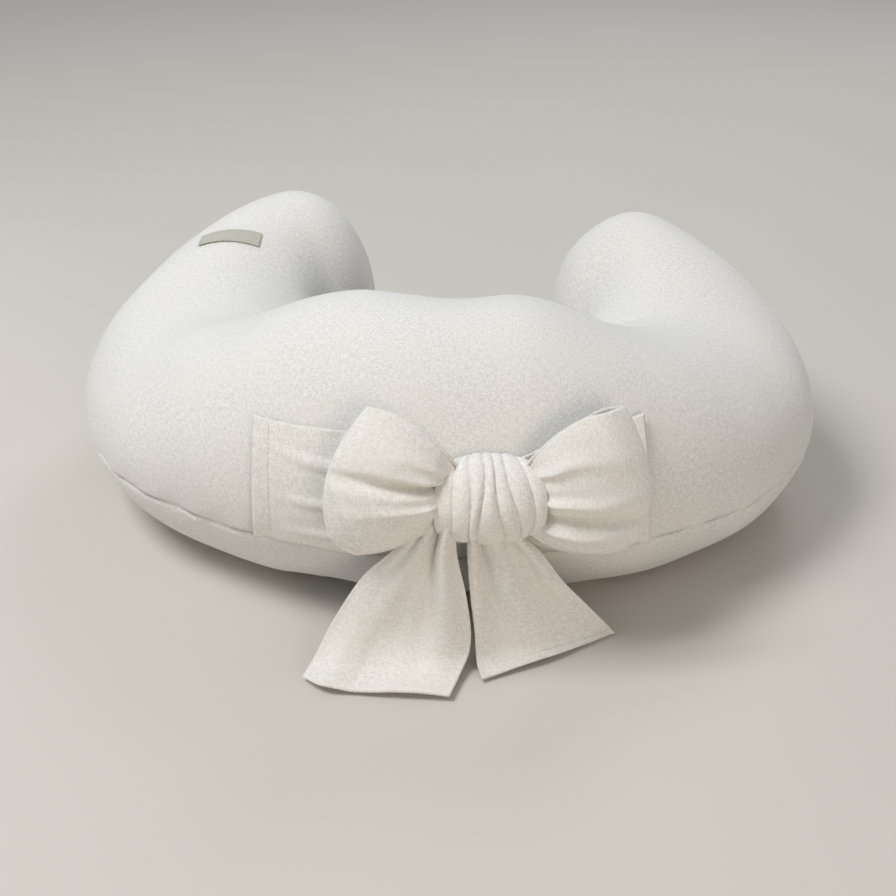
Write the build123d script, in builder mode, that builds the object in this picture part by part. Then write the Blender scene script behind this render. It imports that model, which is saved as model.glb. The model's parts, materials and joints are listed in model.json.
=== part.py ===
"""U-shaped nursing pillow: a zipped linen cover over a filled inner case, with two tie straps in a bow.

The pillow lies flat. +Z is up, the closed middle of the U faces -Y and the two arms run to +Y.
The origin is on the floor, under the middle of the whole object.
"""

import os
from math import asin, cos, degrees, radians, sin, sqrt

from build123d import *

os.makedirs("parts", exist_ok=True)

# ---------------------------------------------------------------------------------------------
# Driving dimensions, in millimetres and degrees
# ---------------------------------------------------------------------------------------------

# Centreline of the U, seen from above: a wide arc in the middle and a tighter arc for each arm
middle_arc_radius = 250.0
middle_arc_half_angle = 30.5
arm_arc_radius = 138.0
arm_arc_angle = 105.0
arm_tip_length = 70.0

# Half sizes of the padded section at the middle, at the side and at the end of each arm
middle_half_width = 104.0
middle_half_height = 106.0
side_half_width = 110.0
side_half_height = 78.0
end_half_width = 75.0
end_half_height = 95.0
# The section's centre stands this share of its half height above the floor, so the base is flat
centre_height_share = 0.93
# The middle section holds until this far before the arm's arc, and the side section is reached
# this far along the arm's arc
section_lead = 1.5
side_place = 0.34

# Cover, inner case and filling
cover_thickness = 1.2
case_thickness = 1.0
lining_gap = 1.0
seam_height = 70.0

# Zip in the seam of the inner curve: sizes across the tape and in depth from the cover's skin
zip_half_angle = 27.0
zip_slot_width = 11.0
zip_tape_width = 11.0
zip_tape_thickness = 0.8
zip_tape_depth = 2.2
zip_coil_width = 2.1
zip_coil_height = 1.6
zip_parting = 1.0
zip_stop_length = 2.5
slider_length = 11.0
slider_width = 8.4
slider_plate = 1.1
slider_post_width = 0.6
slider_flange = 0.8
slider_post_share = 0.25
slider_clearance = 0.4
end_gap = 0.4
ear_gap = 3.0
ear_thickness = 1.0
ear_length = 2.4
pin_radius = 0.6
pin_clearance = 0.1
pin_height = 2.2
eye_wall = 0.8
pull_length = 17.0
pull_width = 6.0
pull_thickness = 1.0
pull_hole_length = 5.0
pull_hole_width = 2.4
pull_hole_place = 0.2
pull_corner_share = 0.4
zip_edge_rounding = 0.48
zip_room = 7.0

# Tie straps and bow, placed along the front of the middle
strap_thickness = 1.6
strap_width = 98.0
strap_gap = 0.4
left_strap_end_angle = -18.0
right_strap_end_angle = 25.5
knot_angle = 8.0
knot_height = 116.0
knot_length = 66.0
knot_width = 64.0
knot_depth = 34.0
knot_corner = 20.0
knot_round = 13.0
strap_width_at_knot = 54.0
loop_reach = 112.0
loop_depth = 34.0
loop_width_outer = 98.0
loop_width_at_knot = 46.0
loop_thickness = 2.0
loop_rise = 14.0
loop_shoulder_share = 0.3
loop_shoulder_drop = 0.8
piece_gap = 0.4

# Tails of the straps: widths at the knot and at the hem, and the reach of the hem from the hinge
tail_thickness = 2.4
tail_width_at_knot = 29.0
left_tail_width = 103.0
right_tail_width = 108.0
left_tail_side_reach = -56.0
left_tail_front_reach = 50.0
right_tail_side_reach = 28.0
right_tail_front_reach = 16.0
left_tail_turn = -8.0
right_tail_turn = 36.0
tail_bead_radius = 3.0
tail_spacing = 4.0

# Labels
label_thickness = 0.6
brand_label_length = 52.0
brand_label_width = 20.0
brand_label_place = 0.82
care_label_length = 34.0
care_label_height = 24.0
care_label_clearance = 6.0

# ---------------------------------------------------------------------------------------------
# The U's centreline and section
# ---------------------------------------------------------------------------------------------

middle_arc_length = middle_arc_radius * radians(middle_arc_half_angle)
arm_arc_length = arm_arc_radius * radians(arm_arc_angle)
arm_length = middle_arc_length + arm_arc_length
section_start = middle_arc_radius * radians(middle_arc_half_angle - section_lead)
section_side = middle_arc_length + side_place * arm_arc_length
arc_centre_offset = middle_arc_radius - arm_arc_radius


def eased(share):
    """A smooth step from 0 to 1."""
    share = min(max(share, 0.0), 1.0)
    return share * share * (3.0 - 2.0 * share)


def section_half_sizes(distance):
    """Half width and half height of the section at a distance along the centreline from the middle."""
    to_side = eased((abs(distance) - section_start) / (section_side - section_start))
    to_end = eased((abs(distance) - section_side) / (arm_length - section_side))
    width = middle_half_width + (side_half_width - middle_half_width) * to_side
    width += (end_half_width - side_half_width) * to_end
    height = middle_half_height + (side_half_height - middle_half_height) * to_side
    height += (end_half_height - side_half_height) * to_end
    return width, height


def centreline(distance):
    """X, Y and heading of the centreline, from the middle arc's centre. The heading is the angle
    between -Y and the outward direction, positive towards +X."""
    side = -1.0 if distance < 0 else 1.0
    run = abs(distance)
    if run <= middle_arc_length:
        heading = run / middle_arc_radius
        x = middle_arc_radius * sin(heading)
        y = -middle_arc_radius * cos(heading)
    else:
        turn = radians(middle_arc_half_angle)
        heading = turn + (run - middle_arc_length) / arm_arc_radius
        x = arc_centre_offset * sin(turn) + arm_arc_radius * sin(heading)
        y = -arc_centre_offset * cos(turn) - arm_arc_radius * cos(heading)
    return side * x, y, side * heading


# Room that the whole object takes along Y, measured from the middle arc's centre
tip_y, tip_heading = centreline(arm_length)[1:]
tip_reach = sqrt((end_half_width * cos(tip_heading)) ** 2 + (arm_tip_length * sin(tip_heading)) ** 2)
back_edge = tip_y + tip_reach
front_wall_radius = middle_arc_radius + middle_half_width
hinge_radius = front_wall_radius + strap_gap + strap_thickness + tail_bead_radius + 2.0 * piece_gap
front_edge = -hinge_radius - left_tail_front_reach - 0.5 * tail_spacing
arc_y = -0.5 * (back_edge + front_edge)


def station_plane(distance, ahead, outward):
    """Plane across the centreline: local X points outwards and local Y up."""
    x, y, heading = centreline(distance)
    side = -1.0 if distance < 0 else 1.0
    along = (cos(heading), sin(heading))
    out = (sin(heading), -cos(heading))
    height = centre_height_share * section_half_sizes(distance)[1]
    place = (
        x + side * along[0] * ahead + out[0] * outward,
        arc_y + y + side * along[1] * ahead + out[1] * outward,
        height,
    )
    return Plane(origin=place, x_dir=(out[0], out[1], 0), z_dir=(along[0], along[1], 0))


stations_per_arm = 16
tip_angles = (18.0, 36.0, 52.0, 66.0, 77.0, 84.0)
# A section narrowed by the inner room moves outwards by this share of it, so its outer side stays put
outward_share = 0.4


def pillow_body(growth, base, inner_room=0.0):
    """Closed solid of the padded U, grown by some millimetres and cut flat at the height base.
    inner_room is the width taken off each section, nearly all of it on the inner curve."""
    runs = [arm_length * step / stations_per_arm for step in range(-stations_per_arm, stations_per_arm + 1)]
    stations = [(run, 0.0, 1.0) for run in runs]
    tip = [(arm_tip_length + growth, radians(angle)) for angle in tip_angles]
    right_tip = [(arm_length, length * sin(angle), cos(angle)) for length, angle in tip]
    left_tip = [(-run, ahead, share) for run, ahead, share in reversed(right_tip)]
    with BuildPart() as body:
        for run, ahead, share in left_tip + stations + right_tip:
            width, height = section_half_sizes(run)
            with BuildSketch(station_plane(run, ahead, outward_share * inner_room * share)):
                Ellipse((width + growth - 0.5 * inner_room) * share, (height + growth) * share)
        loft()
        split(bisect_by=Plane.XY.offset(base), keep=Keep.TOP)
    return body.part


def finish(builder, name):
    """Label a finished piece and write its file."""
    builder.part.label = name
    export_step(builder.part, f"parts/{name}.step")


# ---------------------------------------------------------------------------------------------
# The wall of the middle, which is a surface of revolution about the middle arc's centre
# ---------------------------------------------------------------------------------------------

middle_centre_height = centre_height_share * middle_half_height
arc_axis = Axis((0, arc_y, 0), (0, 0, 1))


def wall_reach(height):
    """Distance of the middle's wall from the centreline at a height."""
    rise = (height - middle_centre_height) / middle_half_height
    return middle_half_width * sqrt(1.0 - rise * rise)


def wall_lean(height):
    """Angle in radians between the wall's outward normal and the horizontal, positive upwards."""
    rise = (height - middle_centre_height) / middle_half_height**2
    return asin(rise / sqrt(rise**2 + (wall_reach(height) / middle_half_width**2) ** 2))


# ---------------------------------------------------------------------------------------------
# Zip planes
# ---------------------------------------------------------------------------------------------

zip_radius = middle_arc_radius - wall_reach(seam_height)
zip_lean = wall_lean(seam_height)
slider_half_angle = degrees(0.5 * slider_length / zip_radius)
stop_angle = degrees(zip_stop_length / zip_radius)
gap_angle = degrees(end_gap / zip_radius)
slider_rest_angle = zip_half_angle - stop_angle - gap_angle - slider_half_angle


def zip_plane(angle):
    """Plane across the zip at an angle: local X up the wall, local Y into the pillow."""
    turn = radians(angle)
    place = (zip_radius * sin(turn), arc_y - zip_radius * cos(turn), seam_height)
    up_radial = sin(zip_lean)
    up = (up_radial * sin(turn), -up_radial * cos(turn), cos(zip_lean))
    return Plane(origin=place, x_dir=up, z_dir=(cos(turn), sin(turn), 0))


def zip_bar(start_angle, end_angle, low, high, top, bottom, rounding=0.0):
    """Bar bent along the zip, from one angle to another, between two places across the tape and
    two depths."""
    with BuildPart() as bar:
        with BuildSketch(zip_plane(start_angle)):
            with Locations((0.5 * (low + high), 0.5 * (top + bottom))):
                if rounding > 0.0:
                    RectangleRounded(high - low, bottom - top, rounding)
                else:
                    Rectangle(high - low, bottom - top)
        revolve(axis=arc_axis, revolution_arc=end_angle - start_angle)
    return bar.part


# Depths from the cover's skin, counted into the pillow
coil_top = zip_tape_depth - zip_coil_height
tape_bottom = zip_tape_depth + zip_tape_thickness
outer_plate_bottom = coil_top - slider_clearance
outer_plate_top = outer_plate_bottom - slider_plate
inner_plate_top = tape_bottom + slider_clearance
inner_plate_bottom = inner_plate_top + slider_plate
coil_edge = 0.5 * zip_parting
coil_outer = coil_edge + zip_coil_width
tape_edge = coil_edge + slider_clearance
tape_outer = tape_edge + zip_tape_width
pin_depth = outer_plate_top - pin_height

# ---------------------------------------------------------------------------------------------
# Cover: two panels that meet at the seam, with a slot for the zip on the inner curve
# ---------------------------------------------------------------------------------------------

outer_body = pillow_body(0.0, 0.0)
cover_inside = pillow_body(-cover_thickness, cover_thickness)
slot_depth = 4.0 * cover_thickness
zip_slot = zip_bar(
    -zip_half_angle, zip_half_angle, -0.5 * zip_slot_width, 0.5 * zip_slot_width, -slot_depth, slot_depth
)

with BuildPart() as cover_shell:
    add(outer_body)
    add(cover_inside, mode=Mode.SUBTRACT)
    add(zip_slot, mode=Mode.SUBTRACT)

with BuildPart() as cover_top_panel:
    add(cover_shell.part)
    split(bisect_by=Plane.XY.offset(seam_height), keep=Keep.TOP)
finish(cover_top_panel, "cover_top_panel")

with BuildPart() as cover_bottom_panel:
    add(cover_shell.part)
    split(bisect_by=Plane.XY.offset(seam_height), keep=Keep.BOTTOM)
finish(cover_bottom_panel, "cover_bottom_panel")

# ---------------------------------------------------------------------------------------------
# Inner case and filling, set back from the zip on the inner curve
# ---------------------------------------------------------------------------------------------

case_inset = cover_thickness + lining_gap
filling_inset = case_inset + case_thickness
case_outside = pillow_body(-case_inset, case_inset, zip_room)
case_inside = pillow_body(-filling_inset, filling_inset, zip_room)

with BuildPart() as case_shell:
    add(case_outside)
    add(case_inside, mode=Mode.SUBTRACT)

with BuildPart() as inner_case_top:
    add(case_shell.part)
    split(bisect_by=Plane.XY.offset(seam_height), keep=Keep.TOP)
finish(inner_case_top, "inner_case_top")

with BuildPart() as inner_case_bottom:
    add(case_shell.part)
    split(bisect_by=Plane.XY.offset(seam_height), keep=Keep.BOTTOM)
finish(inner_case_bottom, "inner_case_bottom")

with BuildPart() as fibre_filling:
    add(case_inside)
finish(fibre_filling, "fibre_filling")

# ---------------------------------------------------------------------------------------------
# Zip: two tapes, two coils, stops, slider and pull
# ---------------------------------------------------------------------------------------------

with BuildPart() as zip_tape_upper:
    add(zip_bar(-zip_half_angle, zip_half_angle, tape_edge, tape_outer, zip_tape_depth, tape_bottom))
finish(zip_tape_upper, "zip_tape_upper")

with BuildPart() as zip_tape_lower:
    add(zip_bar(-zip_half_angle, zip_half_angle, -tape_outer, -tape_edge, zip_tape_depth, tape_bottom))
finish(zip_tape_lower, "zip_tape_lower")

coil_half_angle = zip_half_angle - stop_angle


def on_tape(start_angle, end_angle, low, high):
    """Rounded bar on the tapes, as high as the coils, between two places across the zip."""
    return zip_bar(start_angle, end_angle, low, high, coil_top, zip_tape_depth, zip_edge_rounding)


with BuildPart() as zip_coil_upper:
    add(on_tape(-coil_half_angle, coil_half_angle, coil_edge, coil_outer))
finish(zip_coil_upper, "zip_coil_upper")

with BuildPart() as zip_coil_lower:
    add(on_tape(-coil_half_angle, coil_half_angle, -coil_outer, -coil_edge))
finish(zip_coil_lower, "zip_coil_lower")

with BuildPart() as zip_stops:
    # one bottom stop across both tapes
    add(on_tape(-zip_half_angle, -coil_half_angle, -coil_outer, coil_outer))
    # a top stop on each tape
    add(on_tape(coil_half_angle, zip_half_angle, coil_edge, coil_outer))
    add(on_tape(coil_half_angle, zip_half_angle, -coil_outer, -coil_edge))
finish(zip_stops, "zip_stops")

slider_start = slider_rest_angle - slider_half_angle
slider_end = slider_rest_angle + slider_half_angle
slider_side = 0.5 * slider_width
post_start = slider_end - slider_post_share * 2.0 * slider_half_angle
half_post = 0.5 * slider_post_width
flange_bottom = zip_tape_depth - slider_clearance
slider_plane = zip_plane(slider_rest_angle)
slider_up = slider_plane.x_dir
slider_inwards = slider_plane.y_dir
slider_along = slider_plane.z_dir


def across_pin(half_length):
    """Plane at one end of a piece centred on the pin: local X along the zip, extruded up the wall."""
    place = slider_plane.origin + slider_inwards * pin_depth - slider_up * half_length
    return Plane(origin=place, x_dir=slider_along, z_dir=slider_up)


ear_inner = 0.5 * ear_gap
ear_outer = ear_inner + ear_thickness
ear_top = pin_depth - pin_radius - 0.5 * ear_thickness


def slider_bar(low, high, top, bottom, rounding=0.0):
    """Bar as long as the slider."""
    return zip_bar(slider_start, slider_end, low, high, top, bottom, rounding)


# The post and the flanges run into the plates by the plates' rounding
into_outer_plate = outer_plate_bottom - zip_edge_rounding
into_inner_plate = inner_plate_top + zip_edge_rounding

with BuildPart() as zip_slider:
    add(slider_bar(-slider_side, slider_side, outer_plate_top, outer_plate_bottom, zip_edge_rounding))
    add(slider_bar(-slider_side, slider_side, inner_plate_top, inner_plate_bottom, zip_edge_rounding))
    # the post that parts the coils, at the top end
    add(zip_bar(post_start, slider_end, -half_post, half_post, into_outer_plate, into_inner_plate))
    # side flanges that hold the coils in
    for edge in (-slider_side, slider_side - slider_flange):
        add(slider_bar(edge, edge + slider_flange, into_outer_plate, flange_bottom))
    # two ears and the pin that carry the pull
    with BuildSketch(slider_plane.offset(-0.5 * ear_length)):
        for side in (-1, 1):
            with Locations((side * 0.5 * (ear_inner + ear_outer), 0.5 * (ear_top + outer_plate_bottom))):
                Rectangle(ear_thickness, outer_plate_bottom - ear_top)
    extrude(amount=ear_length)
    with BuildSketch(across_pin(ear_outer)):
        Circle(pin_radius)
    extrude(amount=2.0 * ear_outer)
finish(zip_slider, "zip_slider")

eye_bore = pin_radius + pin_clearance
eye_radius = eye_bore + eye_wall
neck_half_width = 0.5 * ear_gap - 2.0 * pin_clearance
neck_end = 0.5 * ear_length + slider_clearance + eye_radius

with BuildPart() as zip_pull:
    with BuildSketch(across_pin(neck_half_width)):
        Circle(eye_radius)
        with Locations((-0.5 * (neck_end + eye_bore), 0)):
            Rectangle(neck_end - eye_bore, pull_thickness)
        Circle(eye_bore, mode=Mode.SUBTRACT)
    extrude(amount=2.0 * neck_half_width)
    tab_length = pull_length - neck_end
    tab_reach = neck_end + 0.5 * tab_length
    tab_middle = slider_plane.origin + slider_inwards * pin_depth - slider_along * tab_reach
    tab_plane = Plane(origin=tab_middle, x_dir=slider_along, z_dir=slider_inwards)
    with BuildSketch(tab_plane.offset(-0.5 * pull_thickness)):
        RectangleRounded(tab_length, pull_width, pull_corner_share * pull_width)
        with Locations((-pull_hole_place * tab_length, 0)):
            SlotOverall(pull_hole_length, pull_hole_width, mode=Mode.SUBTRACT)
    extrude(amount=pull_thickness)
    # the tab's rounded corners stand clear of the neck, so the neck runs on into the tab
    root_length = 0.5 * pull_corner_share * pull_width
    with BuildSketch(across_pin(neck_half_width)):
        with Locations((-(neck_end + 0.5 * root_length), 0)):
            Rectangle(root_length, pull_thickness)
    extrude(amount=2.0 * neck_half_width)
finish(zip_pull, "zip_pull")

# ---------------------------------------------------------------------------------------------
# Bow planes on the front wall: the front wall at the knot, seen square on and from above
# ---------------------------------------------------------------------------------------------

knot_lean = wall_lean(knot_height)


def front_plane(angle, height):
    """Plane on the front wall, facing outwards: local X to the right and local Y up the wall."""
    turn = radians(angle)
    lean = wall_lean(height)
    reach = middle_arc_radius + wall_reach(height)
    place = (reach * sin(turn), arc_y - reach * cos(turn), height)
    normal = (cos(lean) * sin(turn), -cos(lean) * cos(turn), sin(lean))
    return Plane(origin=place, x_dir=(cos(turn), sin(turn), 0), z_dir=normal)


knot_plane = front_plane(knot_angle, knot_height)
# the same place seen along the wall: local X to the right and local Y outwards
bow_plan = Plane(origin=knot_plane.origin, x_dir=knot_plane.x_dir, z_dir=-knot_plane.y_dir)
cut_reach = middle_half_height
below_floor = -5.0

strap_outside = pillow_body(strap_gap + strap_thickness, below_floor)
strap_inside = pillow_body(strap_gap, below_floor)
bow_inside = pillow_body(strap_gap + strap_thickness + piece_gap, below_floor)
loop_inside = pillow_body(strap_gap + strap_thickness + piece_gap + loop_thickness, below_floor)


def strap_band(end_angle):
    """The stretch of a strap from its sewn end to the knot, lying on the wall."""
    side = -1.0 if end_angle < knot_angle else 1.0
    span = radians(abs(end_angle - knot_angle))
    end_x = side * front_wall_radius * sin(span)
    # the lower edge of the sewn end runs along the seam
    low = seam_height - knot_height + piece_gap
    square_on = Vector(sin(radians(knot_angle)), -cos(radians(knot_angle)), 0)
    front_view = Plane(origin=knot_plane.origin, x_dir=knot_plane.x_dir, z_dir=square_on)
    with BuildPart() as band:
        with BuildSketch(front_view.offset(-cut_reach)):
            with BuildLine():
                Polyline(
                    (end_x, low),
                    (end_x, low + strap_width * cos(knot_lean)),
                    (side * 0.5 * knot_length, 0.5 * strap_width_at_knot),
                    (side * piece_gap, 0.5 * strap_width_at_knot),
                    (side * piece_gap, -0.5 * strap_width_at_knot),
                    (side * 0.5 * knot_length, -0.5 * strap_width_at_knot),
                    close=True,
                )
            make_face()
        extrude(amount=2.0 * cut_reach)
        add(strap_outside, mode=Mode.INTERSECT)
        add(strap_inside, mode=Mode.SUBTRACT)
    return band


left_tie_band = strap_band(left_strap_end_angle)
finish(left_tie_band, "left_tie_band")

right_tie_band = strap_band(right_strap_end_angle)
finish(right_tie_band, "right_tie_band")

# ---------------------------------------------------------------------------------------------
# Knot: a rounded barrel, hollowed to lie on the straps
# ---------------------------------------------------------------------------------------------

knot_sink = 0.5 * knot_depth

with BuildPart() as bow_knot:
    with BuildSketch(knot_plane.offset(-knot_sink)):
        RectangleRounded(knot_length, knot_width, knot_corner)
    extrude(amount=knot_sink + knot_depth)
    fillet(bow_knot.faces().sort_by(Axis(knot_plane.origin, knot_plane.z_dir))[-1].edges(), knot_round)
    add(bow_inside, mode=Mode.SUBTRACT)
finish(bow_knot, "bow_knot")

# ---------------------------------------------------------------------------------------------
# Loops: open rings of strap beside the knot, narrow there and wide at their outer end
# ---------------------------------------------------------------------------------------------


def loop_outline(side, shrink):
    """Corners of a loop seen along the wall, drawn inside the outer outline by shrink."""
    root = 0.5 * knot_length + piece_gap + shrink
    tip = loop_reach - shrink
    depth = loop_depth - shrink
    return (
        (side * root, -loop_depth),
        (side * root, 0.5 * depth),
        (side * (tip - loop_depth), depth),
        (side * (tip - loop_shoulder_share * loop_depth), loop_shoulder_drop * depth),
        (side * tip, 0.0),
        (side * tip, -loop_depth),
    )


def loop_block(side, shrink, inside):
    """Upright block with the loop's outline, cut from behind to lie on the straps."""
    with BuildPart() as block:
        with BuildSketch(bow_plan.offset(-loop_width_outer)):
            with BuildLine():
                Polyline(*loop_outline(side, shrink), close=True)
            make_face()
        extrude(amount=2.0 * loop_width_outer)
        add(inside, mode=Mode.SUBTRACT)
    return block.part


def bow_loop(side):
    """A loop of the bow, an open ring that is narrow at the knot and wide at its outer end."""
    root = 0.5 * knot_length - loop_depth * loop_shoulder_share
    outside = loop_block(side, 0.0, bow_inside)
    cavity = loop_block(side, loop_thickness, loop_inside)
    with BuildPart() as loop:
        with BuildSketch(knot_plane.offset(-2.0 * loop_depth)):
            with BuildLine():
                Polyline(
                    (side * root, -0.5 * loop_width_at_knot),
                    (side * root, 0.5 * loop_width_at_knot),
                    (side * loop_reach, loop_rise + 0.5 * loop_width_outer),
                    (side * loop_reach, loop_rise - 0.5 * loop_width_outer),
                    close=True,
                )
            make_face()
        extrude(amount=4.0 * loop_depth)
        add(outside, mode=Mode.INTERSECT)
        add(cavity, mode=Mode.SUBTRACT)
    return loop


left_bow_loop = bow_loop(-1.0)
finish(left_bow_loop, "left_bow_loop")

right_bow_loop = bow_loop(1.0)
finish(right_bow_loop, "right_bow_loop")

# ---------------------------------------------------------------------------------------------
# Tails: strips that hang from under the knot and run out over the floor, each turning on a bead
# ---------------------------------------------------------------------------------------------

knot_underside = knot_height - 0.5 * knot_width * cos(knot_lean)
hinge_height = knot_underside - tail_bead_radius - piece_gap - 0.5 * knot_depth * sin(knot_lean)


def tail_hinge(side):
    """Place of a tail's bead, beside the middle of the knot."""
    across = side * 0.5 * (tail_width_at_knot + tail_spacing)
    turn = radians(knot_angle)
    x = hinge_radius * sin(turn) + across * cos(turn)
    y = arc_y - hinge_radius * cos(turn) + across * sin(turn)
    return Vector(x, y, hinge_height)


def strap_tail(side, side_reach, front_reach, hem_width, hem_turn):
    """A tail: a ruled strip through a few cross lines from the bead to the hem on the floor."""
    start = tail_hinge(side)
    lying = 0.5 * tail_thickness
    # share of the side reach, share of the front reach, height, share of the way from the width at the
    # knot to the hem's width, share of the hem's turn, and the slope of the strip below the horizontal
    cross_lines = (
        (0.00, 0.00, hinge_height, 0.00, 0.00, 90.0),
        (0.35, 0.12, 0.55 * hinge_height, 0.40, 0.30, 80.0),
        (0.68, 0.34, 0.17 * hinge_height, 0.72, 0.65, 62.0),
        (0.86, 0.62, lying, 0.90, 0.88, 0.0),
        (1.00, 1.00, lying, 1.00, 1.00, 0.0),
    )
    with BuildPart() as tail:
        for side_share, front_share, height, width_share, turn_share, slope in cross_lines:
            turn = radians(knot_angle + (hem_turn - knot_angle) * turn_share)
            place = (start.X + side_reach * side_share, start.Y - front_reach * front_share, height)
            width = tail_width_at_knot + (hem_width - tail_width_at_knot) * width_share
            down = radians(slope)
            ahead = (cos(down) * sin(turn), -cos(down) * cos(turn), -sin(down))
            with BuildSketch(Plane(origin=place, x_dir=(cos(turn), sin(turn), 0), z_dir=ahead)):
                Rectangle(width, tail_thickness)
        loft(ruled=True)
        bead_turn = radians(knot_angle)
        bead_along = Vector(cos(bead_turn), sin(bead_turn), 0)
        with BuildSketch(Plane(origin=start - bead_along * (0.5 * tail_width_at_knot), z_dir=bead_along)):
            Circle(tail_bead_radius)
        extrude(amount=tail_width_at_knot)
    return tail


left_tail = strap_tail(-1.0, left_tail_side_reach, left_tail_front_reach, left_tail_width, left_tail_turn)
finish(left_tail, "left_tail")

right_tail = strap_tail(1.0, right_tail_side_reach, right_tail_front_reach, right_tail_width, right_tail_turn)
finish(right_tail, "right_tail")

# ---------------------------------------------------------------------------------------------
# Labels: thin patches on the cover
# ---------------------------------------------------------------------------------------------

label_outside = pillow_body(strap_gap + label_thickness, below_floor)

with BuildPart() as brand_label:
    label_x, label_y, label_heading = centreline(-arm_length * brand_label_place)
    label_out = (sin(label_heading), -cos(label_heading), 0)
    label_origin = (label_x, arc_y + label_y, side_half_height)
    with BuildSketch(Plane(origin=label_origin, x_dir=label_out, z_dir=(0, 0, 1))):
        Rectangle(brand_label_length, brand_label_width)
    extrude(amount=2.0 * end_half_height)
    add(label_outside, mode=Mode.INTERSECT)
    add(strap_inside, mode=Mode.SUBTRACT)
finish(brand_label, "brand_label")

with BuildPart() as care_label:
    label_top = seam_height - 0.5 * zip_slot_width - care_label_clearance
    with BuildSketch(Plane.XZ.offset(-arc_y)):
        with Locations((0, label_top - 0.5 * care_label_height)):
            Rectangle(care_label_length, care_label_height)
    extrude(amount=middle_arc_radius)
    add(label_outside, mode=Mode.INTERSECT)
    add(strap_inside, mode=Mode.SUBTRACT)
finish(care_label, "care_label")
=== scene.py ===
"""Look of a U-shaped nursing pillow: a zipped linen cover, softly filled, with two tie straps in a bow."""

import json
from math import cos, pi, radians, sin, sqrt

import bpy
import numpy as np
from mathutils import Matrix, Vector
from mathutils.bvhtree import BVHTree


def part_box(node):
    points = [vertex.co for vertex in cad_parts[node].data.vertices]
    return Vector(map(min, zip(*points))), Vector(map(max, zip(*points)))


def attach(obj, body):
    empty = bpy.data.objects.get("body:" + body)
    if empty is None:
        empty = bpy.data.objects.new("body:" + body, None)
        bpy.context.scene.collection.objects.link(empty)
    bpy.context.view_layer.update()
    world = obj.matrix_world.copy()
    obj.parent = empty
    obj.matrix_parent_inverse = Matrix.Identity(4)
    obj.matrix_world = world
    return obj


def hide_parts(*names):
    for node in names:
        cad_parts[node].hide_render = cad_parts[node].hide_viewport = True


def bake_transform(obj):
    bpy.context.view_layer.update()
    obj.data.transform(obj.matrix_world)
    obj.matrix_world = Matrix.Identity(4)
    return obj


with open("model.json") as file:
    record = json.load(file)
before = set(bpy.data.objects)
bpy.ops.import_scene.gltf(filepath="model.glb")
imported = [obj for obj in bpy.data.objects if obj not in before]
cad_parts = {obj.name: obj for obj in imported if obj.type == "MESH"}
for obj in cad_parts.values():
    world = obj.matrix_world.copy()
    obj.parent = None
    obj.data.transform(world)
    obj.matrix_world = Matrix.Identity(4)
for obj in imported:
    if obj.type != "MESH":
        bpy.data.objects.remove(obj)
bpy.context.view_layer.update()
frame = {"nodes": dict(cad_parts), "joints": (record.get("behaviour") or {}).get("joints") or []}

MM = 0.001

# ---------------------------------------------------------------------------------------------
# Sizes of the pillow, in metres and radians
# ---------------------------------------------------------------------------------------------

joints = {joint["name"]: joint for joint in frame["joints"]}
arc_y = joints["zip_run"]["pos_m"][1]
seam_z = joints["zip_run"]["pos_m"][2]

# Centreline of the U: a wide arc in the middle and a tighter one for each arm
middle_radius = 0.250
middle_turn = radians(30.5)
arm_radius = 0.138
arm_turn = radians(105.0)
left_arm_extra_turn = radians(4.3)
tip_length = 0.070
side_place = 0.34
shoulder_turn = radians(12.0)

# Half sizes of the filled section. The left arm is filled a little more than the right one.
middle_half_width = 0.104
side_half_width = 0.108
end_half_width = 0.075
middle_half_height = 0.1095
left_half_heights = (0.0825, 0.1020)
right_half_heights = (0.0830, 0.0975)
centre_share = 0.93

zip_half_turn = radians(27.0)
zip_half_gap = 5.5 * MM
cover_thickness = 1.2 * MM

middle_run = middle_radius * middle_turn
right_run = middle_run + arm_radius * arm_turn
left_run = middle_run + arm_radius * (arm_turn + left_arm_extra_turn)
section_start = middle_radius * shoulder_turn
section_side = middle_run + side_place * arm_radius * arm_turn
arc_offset = middle_radius - arm_radius


def eased(share):
    """A smooth step from 0 to 1."""
    share = np.clip(share, 0.0, 1.0)
    return share * share * (3.0 - 2.0 * share)


def bell(distance, width):
    """A smooth bump, 1 at no distance and nearly 0 at twice the width."""
    return np.exp(-((distance / width) ** 2))


def section_sizes(run):
    """Half width, half height and centre height of the section at a run along the centreline."""
    distance = abs(run)
    side_height, end_height = left_half_heights if run < 0 else right_half_heights
    full_run = left_run if run < 0 else right_run
    to_side = float(eased((distance - section_start) / (section_side - section_start)))
    to_end = float(eased((distance - section_side) / (full_run - section_side)))
    width = middle_half_width + (side_half_width - middle_half_width) * to_side
    width += (end_half_width - side_half_width) * to_end
    height = middle_half_height + (side_height - middle_half_height) * to_side
    height += (end_height - side_height) * to_end
    return width, height, centre_share * height


def centreline(run):
    """Place, outward direction and forward direction of the centreline, seen from above."""
    side = -1.0 if run < 0 else 1.0
    distance = abs(run)
    if distance <= middle_run:
        turn = distance / middle_radius
        place = (middle_radius * sin(turn), -middle_radius * cos(turn))
    else:
        turn = middle_turn + (distance - middle_run) / arm_radius
        x = arc_offset * sin(middle_turn) + arm_radius * sin(turn)
        y = -arc_offset * cos(middle_turn) - arm_radius * cos(turn)
        place = (x, y)
    middle = np.array([side * place[0], arc_y + place[1]])
    outward = np.array([side * sin(turn), -cos(turn)])
    forward = np.array([cos(turn), side * sin(turn)])
    return middle, outward, forward


# ---------------------------------------------------------------------------------------------
# Shader maths
# ---------------------------------------------------------------------------------------------


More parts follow.
